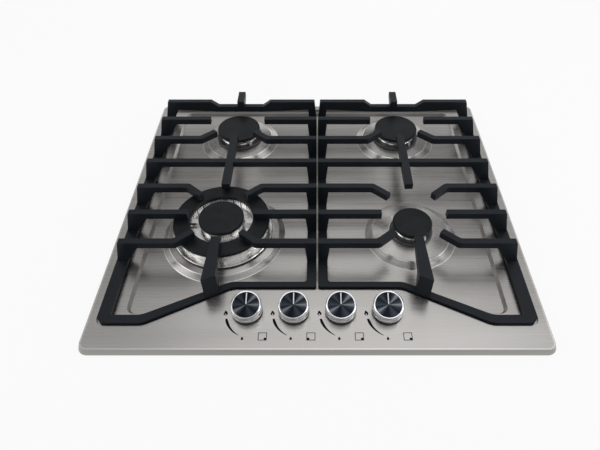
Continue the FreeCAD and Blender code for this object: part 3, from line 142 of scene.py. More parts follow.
def make_world():
    """Soft studio surround: a white base, a grey room above it that is lighter on the right."""
    world = bpy.data.worlds.new("studio")
    scene.world = world
    world.use_nodes = True
    tree = world.node_tree
    nodes = tree.nodes
    nodes.clear()
    output = nodes.new("ShaderNodeOutputWorld")
    coords = nodes.new("ShaderNodeTexCoord")
    split = nodes.new("ShaderNodeSeparateXYZ")
    link(tree, coords.outputs["Generated"], split.inputs[0])
    ramp = nodes.new("ShaderNodeValToRGB")
    ramp.color_ramp.interpolation = "EASE"
    stops = ramp.color_ramp.elements
    stops[0].position = 0.0
    stops[0].color = (1.0, 1.0, 1.0, 1.0)
    stops[1].position = 1.0
    stops[1].color = (0.62, 0.62, 0.63, 1.0)
    bands = ((0.18, 0.92), (0.30, 0.60), (0.45, 0.34), (0.58, 0.27), (0.70, 0.38), (0.86, 0.62))
    for position, grey in bands:
        stop = stops.new(position)
        stop.color = (grey, grey, grey * 1.01, 1.0)
    link(tree, split.outputs["Z"], ramp.inputs[0])
    across = nodes.new("ShaderNodeMapRange")
    across.inputs["From Min"].default_value = -1.0
    across.inputs["From Max"].default_value = 1.0
    link(tree, split.outputs["X"], across.inputs["Value"])
    tone = nodes.new("ShaderNodeValToRGB")
    stops = tone.color_ramp.elements
    stops[0].position = 0.0
    stops[0].color = (0.98, 0.98, 0.98, 1.0)
    stops[1].position = 1.0
    stops[1].color = (1.0, 1.0, 1.0, 1.0)
    for position, grey in ((0.36, 0.90), (0.44, 0.62), (0.50, 0.58), (0.58, 0.78), (0.66, 0.94)):
        stops.new(position).color = (grey, grey, grey, 1.0)
    link(tree, across.outputs["Result"], tone.inputs[0])
    side = nodes.new("ShaderNodeMath")
    side.operation = "MULTIPLY"
    side.inputs[1].default_value = 1.25
    link(tree, tone.outputs[0], side.inputs[0])
    room = nodes.new("ShaderNodeBackground")
    link(tree, ramp.outputs[0], room.inputs["Color"])
    link(tree, side.outputs[0], room.inputs["Strength"])
    white = nodes.new("ShaderNodeBackground")
    white.inputs["Color"].default_value = (1.0, 1.0, 1.0, 1.0)
    path = nodes.new("ShaderNodeLightPath")
    mix = nodes.new("ShaderNodeMixShader")
    link(tree, path.outputs["Is Camera Ray"], mix.inputs[0])
    link(tree, room.outputs[0], mix.inputs[1])
    link(tree, white.outputs[0], mix.inputs[2])
    link(tree, mix.outputs[0], output.inputs["Surface"])


def make_floor():
    """Pale worktop with a cut-out for the box, nearly white to the camera."""
    mesh = bpy.data.meshes.new("floor")
    left, front, right, rear = CUT_OUT
    far = FLOOR_REACH
    outer = [(-far, -far), (far, -far), (far, far), (-far, far)]
    inner = [(left, front), (right, front), (right, rear), (left, rear)]
    points = [(x, y, FLOOR_Z) for x, y in outer + inner]
    faces = [(0, 1, 5, 4), (1, 2, 6, 5), (2, 3, 7, 6), (3, 0, 4, 7)]
    mesh.from_pydata(points, [], faces)
    floor = bpy.data.objects.new("floor", mesh)
    scene.collection.objects.link(floor)

    made = bpy.data.materials.new("floor")
    made.use_nodes = True
    tree = made.node_tree
    nodes = tree.nodes
    nodes.clear()
    output = nodes.new("ShaderNodeOutputMaterial")
    dull = nodes.new("ShaderNodeBsdfDiffuse")
    dull.inputs["Color"].default_value = (0.9, 0.9, 0.9, 1.0)
    glow = nodes.new("ShaderNodeEmission")
    glow.inputs["Color"].default_value = (1.0, 1.0, 1.0, 1.0)
    path = nodes.new("ShaderNodeLightPath")
    seen = path.outputs["Is Camera Ray"]
    for ray in ("Is Glossy Ray", "Is Transmission Ray"):
        either = nodes.new("ShaderNodeMath")
        either.operation = "MAXIMUM"
        link(tree, seen, either.inputs[0])
        link(tree, path.outputs[ray], either.inputs[1])
        seen = either.outputs[0]
    share = nodes.new("ShaderNodeMath")
    share.operation = "MULTIPLY"
    share.inputs[1].default_value = 0.86
    mix = nodes.new("ShaderNodeMixShader")
    link(tree, seen, share.inputs[0])
    link(tree, share.outputs[0], mix.inputs[0])
    link(tree, dull.outputs[0], mix.inputs[1])
    link(tree, glow.outputs[0], mix.inputs[2])
    link(tree, mix.outputs[0], output.inputs["Surface"])
    mesh.materials.append(made)


make_world()
make_floor()


# --------------------------------------------------------------------------------------
# Materials
# --------------------------------------------------------------------------------------

class Finish:
    """A Principled material and short ways to add noise to it."""

    def __init__(self, name, colour, rough, metallic=0.0):
        self.material = bpy.data.materials.new(name)
        self.material.use_nodes = True
        self.tree = self.material.node_tree
        self.nodes = self.tree.nodes
        self.shader = self.nodes["Principled BSDF"]
        self.shader.inputs["Base Color"].default_value = (*colour, 1.0)
        self.shader.inputs["Roughness"].default_value = rough
        self.shader.inputs["Metallic"].default_value = metallic
        self.coords = self.nodes.new("ShaderNodeTexCoord")

    def set(self, name, value):
        self.shader.inputs[name].default_value = value

    def noise(self, scale, stretch=(1.0, 1.0, 1.0), detail=3.0, rough=0.5):
        """Noise in object space, in metres, stretched per axis."""
        mapping = self.nodes.new("ShaderNodeMapping")
        mapping.inputs["Scale"].default_value = stretch
        texture = self.nodes.new("ShaderNodeTexNoise")
        texture.inputs["Scale"].default_value = scale
        texture.inputs["Detail"].default_value = detail
        texture.inputs["Roughness"].default_value = rough
        link(self.tree, self.coords.outputs["Object"], mapping.inputs["Vector"])
        link(self.tree, mapping.outputs["Vector"], texture.inputs["Vector"])
        return texture.outputs["Fac"]

    def ramp(self, value, stops):
        """A colour ramp of (position, (r, g, b)) stops."""
        node = self.nodes.new("ShaderNodeValToRGB")
        elements = node.color_ramp.elements
        elements[0].position = stops[0][0]
        elements[0].color = (*stops[0][1], 1.0)
        elements[1].position = stops[-1][0]
        elements[1].color = (*stops[-1][1], 1.0)
        for position, colour in stops[1:-1]:
            elements.new(position).color = (*colour, 1.0)
        link(self.tree, value, node.inputs[0])
        return node.outputs["Color"]

    def spread(self, value, low, high, start=0.3, end=0.7):
        """Maps a noise value to a range."""
        node = self.nodes.new("ShaderNodeMapRange")
        node.inputs["From Min"].default_value = start
        node.inputs["From Max"].default_value = end
        node.inputs["To Min"].default_value = low
        node.inputs["To Max"].default_value = high
        link(self.tree, value, node.inputs["Value"])
        return node.outputs["Result"]

    def mixed(self, share, first, second):
        """Colour mix of two colour sockets."""
        node = self.nodes.new("ShaderNodeMix")
        node.data_type = "RGBA"
        link(self.tree, share, node.inputs["Factor"])
        link(self.tree, first, node.inputs["A"])
        link(self.tree, second, node.inputs["B"])
        return node.outputs["Result"]

    def multiplied(self, first, second):
        """First colour times second."""
        node = self.nodes.new("ShaderNodeMix")
        node.data_type = "RGBA"
        node.blend_type = "MULTIPLY"
        node.inputs["Factor"].default_value = 1.0
        link(self.tree, first, node.inputs["A"])
        link(self.tree, second, node.inputs["B"])
        return node.outputs["Result"]

    def maths(self, operation, value, second=0.0):
        """One step of arithmetic on a value."""
        node = self.nodes.new("ShaderNodeMath")
        node.operation = operation
        node.inputs[1].default_value = second
        link(self.tree, value, node.inputs[0])
        return node.outputs[0]

    def about(self, x, y):
        """Object coordinates from an upright axis, and the angle round it from 0 to 1."""
        mapping = self.nodes.new("ShaderNodeMapping")
        mapping.inputs["Location"].default_value = (-x * MM, -y * MM, 0.0)
        link(self.tree, self.coords.outputs["Object"], mapping.inputs["Vector"])
        turn = self.nodes.new("ShaderNodeTexGradient")
        turn.gradient_type = "RADIAL"
        link(self.tree, mapping.outputs["Vector"], turn.inputs["Vector"])
        return mapping.outputs["Vector"], turn.outputs["Fac"]

    def distance(self, place, scale=1.0):
        """Level distance from the axis, times a scale."""
        flat = self.nodes.new("ShaderNodeVectorMath")
        flat.operation = "MULTIPLY"
        flat.inputs[1].default_value = (scale, scale, 0.0)
        link(self.tree, place, flat.inputs[0])
        reach = self.nodes.new("ShaderNodeVectorMath")
        reach.operation = "LENGTH"
        link(self.tree, flat.outputs["Vector"], reach.inputs[0])
        return reach.outputs["Value"]

    def height(self):
        """Height in object space."""
        place = self.nodes.new("ShaderNodeSeparateXYZ")
        link(self.tree, self.coords.outputs["Object"], place.inputs[0])
        return place.outputs["Z"]

    def turned(self, below, x, y, inner, outer, lines):
        """Painted highlight and shade fans, and painted highlight rings at the creases, on a
        round pressing about an axis.
        """
        place, angle = self.about(x, y)
        away = self.distance(place, 10.0)
        # painted highlight and shade fans round the pressing's axis
        painted_fan = self.ramp(angle, [(at, (value,) * 3) for at, value in PAINTED_FAN_LIGHT])
        none, full = (0.0,) * 3, (1.0,) * 3
        ring = self.ramp(away, [(inner / 100 - 0.03, none), (inner / 100, full),
                                (outer / 100 - 0.01, full), (outer / 100, none)])
        below = self.mixed(ring, below, self.scaled(below, painted_fan, 1.55))
        for radius in lines:
            at = radius / 100
            # thin painted highlight ring along a bend of the pressing
            crease_highlight = self.ramp(away, [(at - 0.008, none), (at, full), (at + 0.008, none)])
            bright = self.nodes.new("ShaderNodeRGB")
            bright.outputs[0].default_value = CREASE_HIGHLIGHT
            below = self.mixed(self.maths("MULTIPLY", crease_highlight, 0.75), below, bright.outputs[0])
        return below

    def border(self, half_width, half_depth, radius):
        """1 at the outline of a rounded rectangle, falling to 0 at 100 mm inside it."""
        size = self.nodes.new("ShaderNodeVectorMath")
        size.operation = "ABSOLUTE"
        link(self.tree, self.coords.outputs["Object"], size.inputs[0])
        corner = self.nodes.new("ShaderNodeVectorMath")
        corner.operation = "SUBTRACT"
        corner.inputs[1].default_value = ((half_width - radius) * MM,
                                          (half_depth - radius) * MM, 1.0)
        link(self.tree, size.outputs["Vector"], corner.inputs[0])
        parts = self.nodes.new("ShaderNodeSeparateXYZ")
        link(self.tree, corner.outputs["Vector"], parts.inputs[0])
        inside = self.nodes.new("ShaderNodeMath")
        inside.operation = "MAXIMUM"
        link(self.tree, parts.outputs["X"], inside.inputs[0])
        link(self.tree, parts.outputs["Y"], inside.inputs[1])
        inside = self.maths("MINIMUM", inside.outputs[0], 0.0)
        beyond = self.nodes.new("ShaderNodeVectorMath")
        beyond.operation = "MAXIMUM"
        link(self.tree, corner.outputs["Vector"], beyond.inputs[0])
        out = self.nodes.new("ShaderNodeVectorMath")
        out.operation = "LENGTH"
        link(self.tree, beyond.outputs["Vector"], out.inputs[0])
        total = self.nodes.new("ShaderNodeMath")
        total.operation = "ADD"
        link(self.tree, inside, total.inputs[0])
        link(self.tree, out.outputs["Value"], total.inputs[1])
        inset = self.maths("SUBTRACT", total.outputs[0], radius * MM)
        return self.maths("ADD", self.maths("MULTIPLY", inset, 10.0), 1.0)

    def scaled(self, colour, tone, most):
        """A colour times a grey tone, whose white is the highest factor."""
        factor = self.maths("MULTIPLY", tone, most)
        node = self.nodes.new("ShaderNodeVectorMath")
        node.operation = "SCALE"
        link(self.tree, colour, node.inputs[0])
        link(self.tree, factor, node.inputs["Scale"])
        return node.outputs["Vector"]

    def colour(self, socket):
        link(self.tree, socket, self.shader.inputs["Base Color"])

    def rough(self, socket):
        link(self.tree, socket, self.shader.inputs["Roughness"])

    def bump(self, value, strength, distance, below=None):
        node = self.nodes.new("ShaderNodeBump")
        node.inputs["Strength"].default_value = strength
        node.inputs["Distance"].default_value = distance
        link(self.tree, value, node.inputs["Height"])
        if below is not None:
            link(self.tree, below, node.inputs["Normal"])
        link(self.tree, node.outputs["Normal"], self.shader.inputs["Normal"])
        return node.outputs["Normal"]


def brushed_steel():
    """Warm grey sheet, brushed from left to right, with soft clouds of brightness that stand in
    for blurry reflections (painted reflections), painted highlight and shade fans and painted
    highlight rings on the pressings, and a painted highlight and painted shade along the rim's
    bend.
    """
    finish = Finish("plate_steel", (0.5, 0.485, 0.465), 0.30, 1.0)
    streaks = finish.noise(1.0, (5.0, 1500.0, 1500.0), 3.0, 0.6)
    broad = finish.noise(1.0, (1.6, 16.0, 16.0), 2.0)
    fine = finish.ramp(streaks, [(0.30, (0.88, 0.88, 0.88)), (0.70, (1.0, 1.0, 1.0))])
    # soft clouds of brightness standing in for blurry reflections: painted reflection
    painted_reflection_cloud = finish.ramp(broad, [(0.25, (0.43, 0.415, 0.396)), (0.75, (0.57, 0.556, 0.537))])
    sheet = finish.multiplied(painted_reflection_cloud, fine)
    for place, (x, y) in BURNERS.items():
        sheet = finish.turned(sheet, x, y, *PRESSINGS[place])
    # painted highlight and painted shade along the bend at the plate's rim
    edge = finish.border(295.0, 262.5, 14.0)
    shade = finish.ramp(edge, [(0.0, (1.0,) * 3), (0.945, (1.0,) * 3), (0.957, (1.6,) * 3),
                               (0.970, (0.62,) * 3), (1.0, (0.72,) * 3)])
    finish.colour(finish.multiplied(sheet, shade))
    finish.rough(finish.spread(streaks, 0.24, 0.38))
    finish.bump(streaks, 0.06, 0.00006)
    finish.set("Anisotropic", 0.5)
    turn = finish.nodes.new("ShaderNodeTangent")
    turn.direction_type = "RADIAL"
    turn.axis = "X"
    link(finish.tree, turn.outputs["Tangent"], finish.shader.inputs["Tangent"])
    return finish.material


def cast_iron():
    """Blue-black matt enamel over cast iron, with a fine grain and rubbed spots."""
    finish = Finish("iron", (0.010, 0.012, 0.016), 0.5)
    grain = finish.noise(900.0, detail=4.0, rough=0.6)
    patches = finish.noise(22.0, detail=3.0)
    finish.colour(finish.ramp(patches, [(0.3, (0.0062, 0.0088, 0.0122)),
                                        (0.7, (0.0095, 0.0128, 0.0172))]))
    finish.rough(finish.spread(patches, 0.38, 0.52))
    waves = finish.bump(patches, 0.06, 0.0012)
    finish.bump(grain, 0.16, 0.00018, waves)
    finish.set("Specular IOR Level", 0.22)
    return finish.material


def cap_enamel():
    """Near-black satin enamel of the burner caps."""
    finish = Finish("cap_enamel", (0.009, 0.011, 0.013), 0.34)
    peel = finish.noise(420.0, detail=2.0)
    spots = finish.noise(60.0, detail=3.0)
    finish.colour(finish.ramp(spots, [(0.3, (0.006, 0.0078, 0.0092)),
                                      (0.7, (0.0095, 0.0118, 0.0138))]))
    finish.rough(finish.spread(spots, 0.30, 0.42))
    finish.bump(peel, 0.08, 0.00015)
    finish.set("Specular IOR Level", 0.2)
    return finish.material


def banded_cup():
    """Bright casting of the large burner's cup, dark at its foot."""
    finish = Finish("banded_cup", (0.85, 0.84, 0.82), 0.28, 1.0)
    high = finish.spread(finish.height(), 0.0, 1.0, 9.6 * MM, 10.2 * MM)
    stain = finish.noise(90.0, detail=4.0)
    metal = finish.ramp(stain, [(0.25, (0.70, 0.69, 0.67)), (0.6, (0.92, 0.91, 0.89))])
    dark = finish.ramp(stain, [(0.3, (0.02, 0.02, 0.02)), (0.7, (0.035, 0.034, 0.033))])
    finish.colour(finish.mixed(high, dark, metal))
    finish.rough(finish.spread(stain, 0.20, 0.34))
    finish.bump(finish.noise(1300.0, detail=3.0), 0.10, 0.0001)
    return finish.material


def slotted_aluminium(name, x, y, count, low):
    """Bright casting of a burner head, with painted shade standing in for the dark flame ports
    round its crown.
    """
    finish = Finish(name, (0.90, 0.89, 0.87), 0.24, 1.0)
    grain = finish.noise(1300.0, detail=3.0)
    stain = finish.noise(90.0, detail=4.0)
    metal = finish.ramp(stain, [(0.25, (0.70, 0.69, 0.67)), (0.6, (0.95, 0.94, 0.92))])
    angle = finish.about(x, y)[1]
    # dark stripes round the crown wall: painted shade standing in for the shaded insides of the
    # flame ports
    share = finish.maths("FRACT", finish.maths("MULTIPLY", angle, count))
    port_shade = finish.ramp(share, [(0.0, (0.10, 0.10, 0.10)), (0.20, (0.14, 0.14, 0.14)),
                                (0.34, (1.0, 1.0, 1.0)), (1.0, (1.0, 1.0, 1.0))])
    facing = finish.nodes.new("ShaderNodeNewGeometry")
    split = finish.nodes.new("ShaderNodeSeparateXYZ")
    link(finish.tree, facing.outputs["Normal"], split.inputs[0])
    upright = finish.spread(split.outputs["Z"], 1.0, 0.0, 0.35, 0.5)
    crown = finish.spread(finish.height(), 0.0, 1.0, (low - 0.3) * MM, (low + 0.3) * MM)
    both = finish.nodes.new("ShaderNodeMath")
    both.operation = "MULTIPLY"
    link(finish.tree, upright, both.inputs[0])
    link(finish.tree, crown, both.inputs[1])
    wall = both.outputs[0]
    finish.colour(finish.mixed(wall, metal, finish.multiplied(metal, port_shade)))
    finish.rough(finish.spread(grain, 0.16, 0.34))
    finish.bump(grain, 0.10, 0.0001)
    return finish.material


def chrome():
    """Polished knob metal with faint turning marks."""
    finish = Finish("chrome", (0.80, 0.81, 0.82), 0.13, 1.0)
    turning = finish.noise(1.0, (60.0, 60.0, 4200.0), 2.0)
    finish.rough(finish.spread(turning, 0.08, 0.19))
    finish.bump(turning, 0.04, 0.00005)
    return finish.material


def plain(name, colour, rough, metallic=0.0, scale=300.0, depth=0.0001, strength=0.1):
    """A finish with a slight tone change, a roughness change and a fine grain."""
    finish = Finish(name, colour, rough, metallic)
    grain = finish.noise(scale, detail=3.0)
    tone = finish.noise(scale / 12.0, detail=2.0)
    dark = tuple(value * 0.86 for value in colour)
    light = tuple(min(1.0, value * 1.08) for value in colour)
    finish.colour(finish.ramp(tone, [(0.3, dark), (0.7, light)]))
    finish.rough(finish.spread(tone, max(0.05, rough - 0.06), min(1.0, rough + 0.06)))
    finish.bump(grain, strength, depth)
    return finish.material


def spun_face(x):
    """Dark spun disc of one knob: fine rings, and painted highlight streaks fanning from the
    centre.
    """
    finish = Finish(f"knob_face_{x:+.0f}", (0.05, 0.055, 0.065), 0.3, 1.0)
    place, angle = finish.about(x, TOP_Y)
    dark = (0.010, 0.013, 0.019)
    mid = (0.045, 0.052, 0.064)
    bright = (0.20, 0.22, 0.25)
    # lighter and darker wedges round the centre: painted highlight streaks of the spun metal
    painted_streaks = finish.ramp(angle, [
        (0.0, mid), (0.045, dark), (0.09, bright), (0.12, mid), (0.17, dark),
        (0.235, dark), (0.33, mid), (0.40, dark), (0.465, mid), (0.50, bright),
        (0.53, mid), (0.585, dark), (0.635, bright), (0.66, mid), (0.70, dark),
        (0.80, dark), (0.86, mid), (0.91, dark), (1.0, mid)])
    rings = finish.nodes.new("ShaderNodeTexNoise")
    rings.noise_dimensions = "1D"
    rings.inputs["Scale"].default_value = 5200.0
    link(finish.tree, finish.distance(place), rings.inputs["W"])
    tone = finish.ramp(rings.outputs["Fac"], [(0.3, (0.72, 0.72, 0.72)), (0.7, (1.0, 1.0, 1.0))])
    finish.colour(finish.multiplied(painted_streaks, tone))
    finish.rough(finish.spread(rings.outputs["Fac"], 0.24, 0.36))
    finish.bump(rings.outputs["Fac"], 0.12, 0.00004)
    return finish.material


finishes = {
    "plate_steel": brushed_steel(),
    "box_steel": plain("box_steel", (0.44, 0.45, 0.46), 0.42, 0.8, 160.0),
    "foam": plain("foam", (0.03, 0.03, 0.032), 0.95, 0.0, 900.0, 0.0003, 0.3),
    "zinc": plain("zinc", (0.55, 0.56, 0.58), 0.36, 0.9, 240.0),
    "brass": plain("brass", (0.62, 0.44, 0.18), 0.30, 1.0, 500.0),
    "ceramic": plain("ceramic", (0.82, 0.80, 0.75), 0.18, 0.0, 200.0, 0.00005),
    "black_plastic": plain("black_plastic", (0.02, 0.02, 0.022), 0.5, 0.0, 700.0),
    "white_plastic": plain("white_plastic", (0.80, 0.79, 0.76), 0.45, 0.0, 600.0),
    "lead": plain("lead", (0.42, 0.05, 0.035), 0.55, 0.0, 400.0),
    "valve_alloy": plain("valve_alloy", (0.52, 0.52, 0.53), 0.40, 0.9, 500.0),
    "steel_tube": plain("steel_tube", (0.50, 0.51, 0.52), 0.32, 0.9, 300.0),
    "iron": cast_iron(),
    "foot_rubber": plain("foot_rubber", (0.012, 0.012, 0.012), 0.75, 0.0, 700.0),
    "cap_enamel": cap_enamel(),
    "chrome": chrome(),
    "spring_steel": plain("spring_steel", (0.45, 0.45, 0.47), 0.30, 0.95, 500.0),
}
slotted = {
    f"burner_head_{place}": slotted_aluminium(f"head_{place}", x, y, count, low)
    for (place, (x, y)), count, low in zip(BURNERS.items(), (44, 44, 36, 72),
                                           (17.5, 17.5, 17.5, 24.5))
}
banded = banded_cup()
dark_cup = plain("dark_cup", (0.10, 0.10, 0.105), 0.38, 0.8, 500.0)
# near-black bezel under each knob, standing in for the contact shadow there: painted shade
knob_seat_shade = plain("knob_seat_shade", (0.006, 0.006, 0.007), 0.45, 0.0, 700.0)
print_ink = plain("print_ink", (0.004, 0.004, 0.0045), 0.8, 0.0, 1500.0, 0.00002)
print_ink.node_tree.nodes["Principled BSDF"].inputs["Specular IOR Level"].default_value = 0.1
pointer_white = plain("pointer_white", (0.86, 0.87, 0.88), 0.32, 0.0, 800.0, 0.00003)
spun = {f"knob_face_{number}": spun_face(x) for number, x in enumerate(KNOB_X, start=1)}


def dress(node, finish):
    """Gives a CAD node its finish."""
    thing = frame["nodes"][node]
    if not thing.material_slots:
        thing.data.materials.append(finish)
    for place in thing.material_slots:
        place.material = finish


for part in frame["record"]["subparts"]:
    node = part["node"]
    if node in spun:
        dress(node, spun[node])
    elif node in slotted:
        dress(node, slotted[node])
    elif node == "burner_cup_front_left":
        dress(node, banded)
    elif node.startswith("burner_cup"):
        dress(node, dark_cup)
    # the bezels take the near-black painted shade
    elif node == "knob_bezels":
        dress(node, knob_seat_shade)
    else:
        dress(node, finishes[part["material_slot"]])


# --------------------------------------------------------------------------------------
# Softened edges on the castings and pressings
# --------------------------------------------------------------------------------------

def soften(node, width, segments, angle=32.0):
    """Rounds the sharp edges of a CAD node by modifiers only."""
    thing = frame["nodes"][node]
    merge = thing.modifiers.new("merge_flats", "DECIMATE")
    merge.decimate_type = "DISSOLVE"
    merge.angle_limit = math.radians(1.0)
    bevel = thing.modifiers.new("round_edges", "BEVEL")
    bevel.width = width * MM
    bevel.segments = segments
    bevel.limit_method = "ANGLE"
    bevel.angle_limit = math.radians(angle)
    bevel.use_clamp_overlap = True
    bevel.harden_normals = False
    smooth = thing.modifiers.new("even_normals", "WEIGHTED_NORMAL")
    smooth.keep_sharp = False
    thing.data.shade_smooth()


for hand in ("left", "right"):
    soften(f"grate_{hand}", 2.0, 3)
soften("top_plate", 1.0, 3, 14.0)


# --------------------------------------------------------------------------------------
# Pieces that the CAD solids don't carry
# --------------------------------------------------------------------------------------

def mesh_piece(name, points, faces, finish, body):
    """A mesh in millimetres that rides on a CAD body."""
    mesh = bpy.data.meshes.new(name)
    mesh.from_pydata([Vector(point) * MM for point in points], [], faces)
    mesh.update()
    mesh.materials.append(finish)
    piece = bpy.data.objects.new(name, mesh)
    scene.collection.objects.link(piece)
    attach(piece, body)
    return piece


def ring_points(x, y, radius, z, count):
    """Points evenly on a level circle, in millimetres."""
    step = 2.0 * math.pi / count
    return [(x + radius * math.cos(step * i), y + radius * math.sin(step * i), z)
            for i in range(count)]


def on_top(x, across, up, rise):
    """A point of a knob's leaning top: across, up the slope, and off its surface."""
    return (x + across,
            TOP_Y + up * math.cos(TOP_LEAN) - rise * math.sin(TOP_LEAN),
            TOP_Z + up * math.sin(TOP_LEAN) + rise * math.cos(TOP_LEAN))


def top_ring(x, radius, rise, count, turn=0.0):
    """Points evenly on a circle of a knob's leaning top."""
    step = 2.0 * math.pi / count
    return [on_top(x, radius * math.cos(step * (i + turn)), radius * math.sin(step * (i + turn)),
                   rise) for i in range(count)]


def knob_shell(number, x):
    """Knob with a grooved skirt and a diamond-cut rim round its leaning top."""
    count = 40
    rings = [ring_points(x, KNOB_Y, radius, z, count) for radius, z in SKIRT]
    rings.append(top_ring(x, 19.6, -2.3, count))
    rings.append(top_ring(x, 19.55, -1.5, count, 0.5))
    rings.append(top_ring(x, 19.0, -0.4, count))
    rings.append(top_ring(x, 18.2, 0.1, count, 0.5))
    rings.append(top_ring(x, FACE_RADIUS, 0.15, count))
    rings.append(top_ring(x, FACE_RADIUS - 0.1, -1.0, count))
    points = [point for ring in rings for point in ring]
    points += [(x, KNOB_Y, SKIRT[0][1]), on_top(x, 0.0, 0.0, -1.0)]
    under = len(points) - 2
    over = len(points) - 1
    first_cut = len(SKIRT)
    faces = []
    flat = []
    for row in range(len(rings) - 1):
        low = row * count
        high = low + count
        cut = first_cut <= row < first_cut + 4
        for i in range(count):
            j = (i + 1) % count
            if not cut:
                faces.append((low + i, low + j, high + j, high + i))
            elif (row - first_cut) % 2 == 0:
                faces += [(low + i, low + j, high + i), (low + j, high + j, high + i)]
            else:
                faces += [(low + i, high + j, high + i), (low + i, low + j, high + j)]
        flat += [cut] * (len(faces) - len(flat))
    last = (len(rings) - 1) * count
    for i in range(count):
        j = (i + 1) % count
        faces.append((j, i, under))
        faces.append((last + i, last + j, over))
    flat += [True] * (len(faces) - len(flat))
    shell = mesh_piece(f"knob_shell_{number}", points, faces, finishes["chrome"],
                       f"knob_{number}")
    for polygon, sharp in zip(shell.data.polygons, flat):
        polygon.use_smooth = not sharp
    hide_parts(f"knob_{number}")


def knob_disc(number, x):
    """Spun disc let into the knob's leaning top."""
    count = 80
    rings = [top_ring(x, FACE_RADIUS - 0.12, -1.05, count),
             top_ring(x, FACE_RADIUS - 0.12, -0.35, count),
             top_ring(x, FACE_RADIUS - 0.45, -0.15, count)]
    points = [point for ring in rings for point in ring]
    points += [on_top(x, 0.0, 0.0, -1.05), on_top(x, 0.0, 0.0, -0.1)]
    under = len(points) - 2
    over = len(points) - 1
    faces = []
    for row in range(len(rings) - 1):
        low = row * count
        for i in range(count):
            j = (i + 1) % count
            faces.append((low + i, low + j, low + count + j, low + count + i))
    last = (len(rings) - 1) * count
    for i in range(count):
        j = (i + 1) % count
        faces.append((j, i, under))
        faces.append((last + i, last + j, over))
    disc = mesh_piece(f"knob_disc_{number}", points, faces, spun[f"knob_face_{number}"],
                      f"knob_{number}")
    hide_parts(f"knob_face_{number}")


def pointer(number, x):
    """White inlay from the knob's centre to the rim at twelve o'clock."""
    half = 0.75
    start = 0.6
    end = FACE_RADIUS - 1.0
    outline = [(-half * 0.4, start), (half * 0.4, start), (half, start + 1.6),
               (half, end - 0.5), (half * 0.5, end), (-half * 0.5, end),
               (-half, end - 0.5), (-half, start + 1.6)]
    count = len(outline)
    low = [on_top(x, across, up, -0.4) for across, up in outline]
    high = [on_top(x, across * 0.8, up, 0.15) for across, up in outline]
    faces = [tuple(range(count, 2 * count)), tuple(range(count - 1, -1, -1))]
    faces += [(i, (i + 1) % count, count + (i + 1) % count, count + i) for i in range(count)]
    mesh_piece(f"pointer_{number}", low + high, faces, pointer_white, f"knob_{number}")


def pressed_spring(number):
    """Return spring under its collar: a copy of the CAD spring, riding on the hob body."""
    node = f"return_spring_{number}"
    coil = bpy.data.objects.new(f"spring_coil_{number}", frame["nodes"][node].data.copy())
    scene.collection.objects.link(coil)
    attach(coil, "hob")
    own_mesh(coil)
    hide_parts(node)


def printed(name, outlines):
    """A printed mark on the plate: closed outlines, an inner one leaving a hole."""
    curve = bpy.data.curves.new(name, "CURVE")
    curve.dimensions = "2D"
    curve.fill_mode = "BOTH"
    curve.extrude = 0.03 * MM
    for outline in outlines:
        spline = curve.splines.new("POLY")
        spline.points.add(len(outline) - 1)
        for point, (x, y) in zip(spline.points, outline):
            point.co = (x * MM, y * MM, 0.0, 1.0)
        spline.use_cyclic_u = True
    holder = bpy.data.objects.new(name + "_curve", curve)
    scene.collection.objects.link(holder)
    bpy.context.view_layer.update()
    mesh = bpy.data.meshes.new_from_object(holder)
    bpy.data.objects.remove(holder)
    mesh.transform(Matrix.Translation((0.0, 0.0, (PLATE_TOP + 0.045) * MM)))
    mesh.name = name
    mesh.materials.clear()
    mesh.materials.append(print_ink)
    piece = bpy.data.objects.new(name, mesh)
    scene.collection.objects.link(piece)
    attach(piece, "hob")
    return piece


def flame_outline(x, y, height):
    """A simple flame: a drop with a leaning tip."""
    outline = []
    for step in range(40):
        angle = 2.0 * math.pi * step / 40
        across = math.sin(angle) * 0.33
        along = -math.cos(angle)
        rise = (along + 1.0) / 2.0
        narrow = (1.0 - rise) ** 0.55 if rise > 0.35 else 1.0 - 0.25 * (0.35 - rise)
        lean = 0.10 * math.sin(rise * math.pi * 1.3)
        outline.append((x + height * (across * (0.25 + narrow) + lean * rise),
                        y + height * (rise - 0.5)))
    return outline


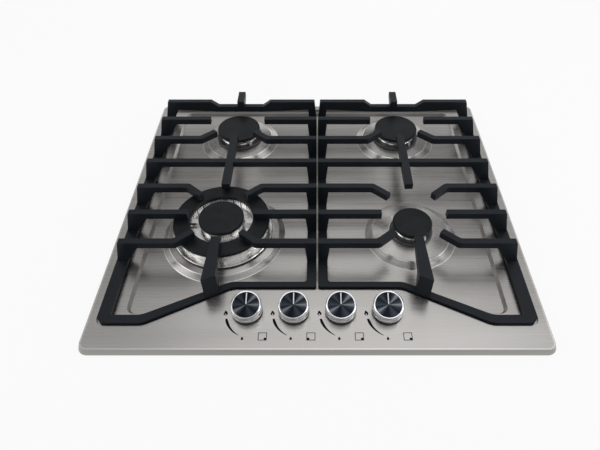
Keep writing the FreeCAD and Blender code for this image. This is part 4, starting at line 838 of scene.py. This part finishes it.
def swept_arc(x, y):
    """Arc from high to low that thins out towards low."""
    outer = []
    inner = []
    start, end, bulge = ARC_START, ARC_END, ARC_BULGE
    for step in range(25):
        t = step / 24
        px = (1 - t) ** 2 * start[0] + 2 * t * (1 - t) * bulge[0] + t ** 2 * end[0]
        py = (1 - t) ** 2 * start[1] + 2 * t * (1 - t) * bulge[1] + t ** 2 * end[1]
        dx = 2 * (1 - t) * (bulge[0] - start[0]) + 2 * t * (end[0] - bulge[0])
        dy = 2 * (1 - t) * (bulge[1] - start[1]) + 2 * t * (end[1] - bulge[1])
        size = math.hypot(dx, dy)
        half = 1.9 * min(1.0, 2.5 * t + 0.6) * (1.0 - t) ** 0.8 + 0.2
        outer.append((x + px + half * dy / size, y + py - half * dx / size))
        inner.append((x + px - half * dy / size, y + py + half * dx / size))
    return outer + inner[::-1]


def square_icon(x, y, dot_side):
    """Outline of the hob with a dot at the burner that the knob works."""
    left, right = x + SQUARE[0], x + SQUARE[1]
    top, bottom = y + SQUARE[2], y + SQUARE[3]
    line = 0.85
    outer = [(left, bottom), (right, bottom), (right, top), (left, top)]
    inner = [(left + line, bottom + line), (right - line, bottom + line),
             (right - line, top - line), (left + line, top - line)]
    radius = 1.7
    centre = (right - 2.2) if dot_side > 0 else (left + 2.2)
    dot = [(centre + radius * math.cos(a * math.pi / 8),
            bottom + 2.2 + radius * math.sin(a * math.pi / 8)) for a in range(16)]
    return [outer, inner], [dot]


for number, x in enumerate(KNOB_X, start=1):
    knob_shell(number, x)
    knob_disc(number, x)
    pointer(number, x)
    pressed_spring(number)
    printed(f"print_high_{number}",
            [flame_outline(x + HIGH_PLACE[0], KNOB_Y + HIGH_PLACE[1], 7.4),
             flame_outline(x + HIGH_HOLE[0], KNOB_Y + HIGH_HOLE[1], 2.4)])
    printed(f"print_low_{number}", [flame_outline(x + LOW_PLACE[0], KNOB_Y + LOW_PLACE[1], 4.6)])
    printed(f"print_arc_{number}", [swept_arc(x, KNOB_Y)])
    frame_lines, dot = square_icon(x, KNOB_Y, -1 if number == 2 else 1)
    printed(f"print_square_{number}", frame_lines)
    printed(f"print_dot_{number}", dot)
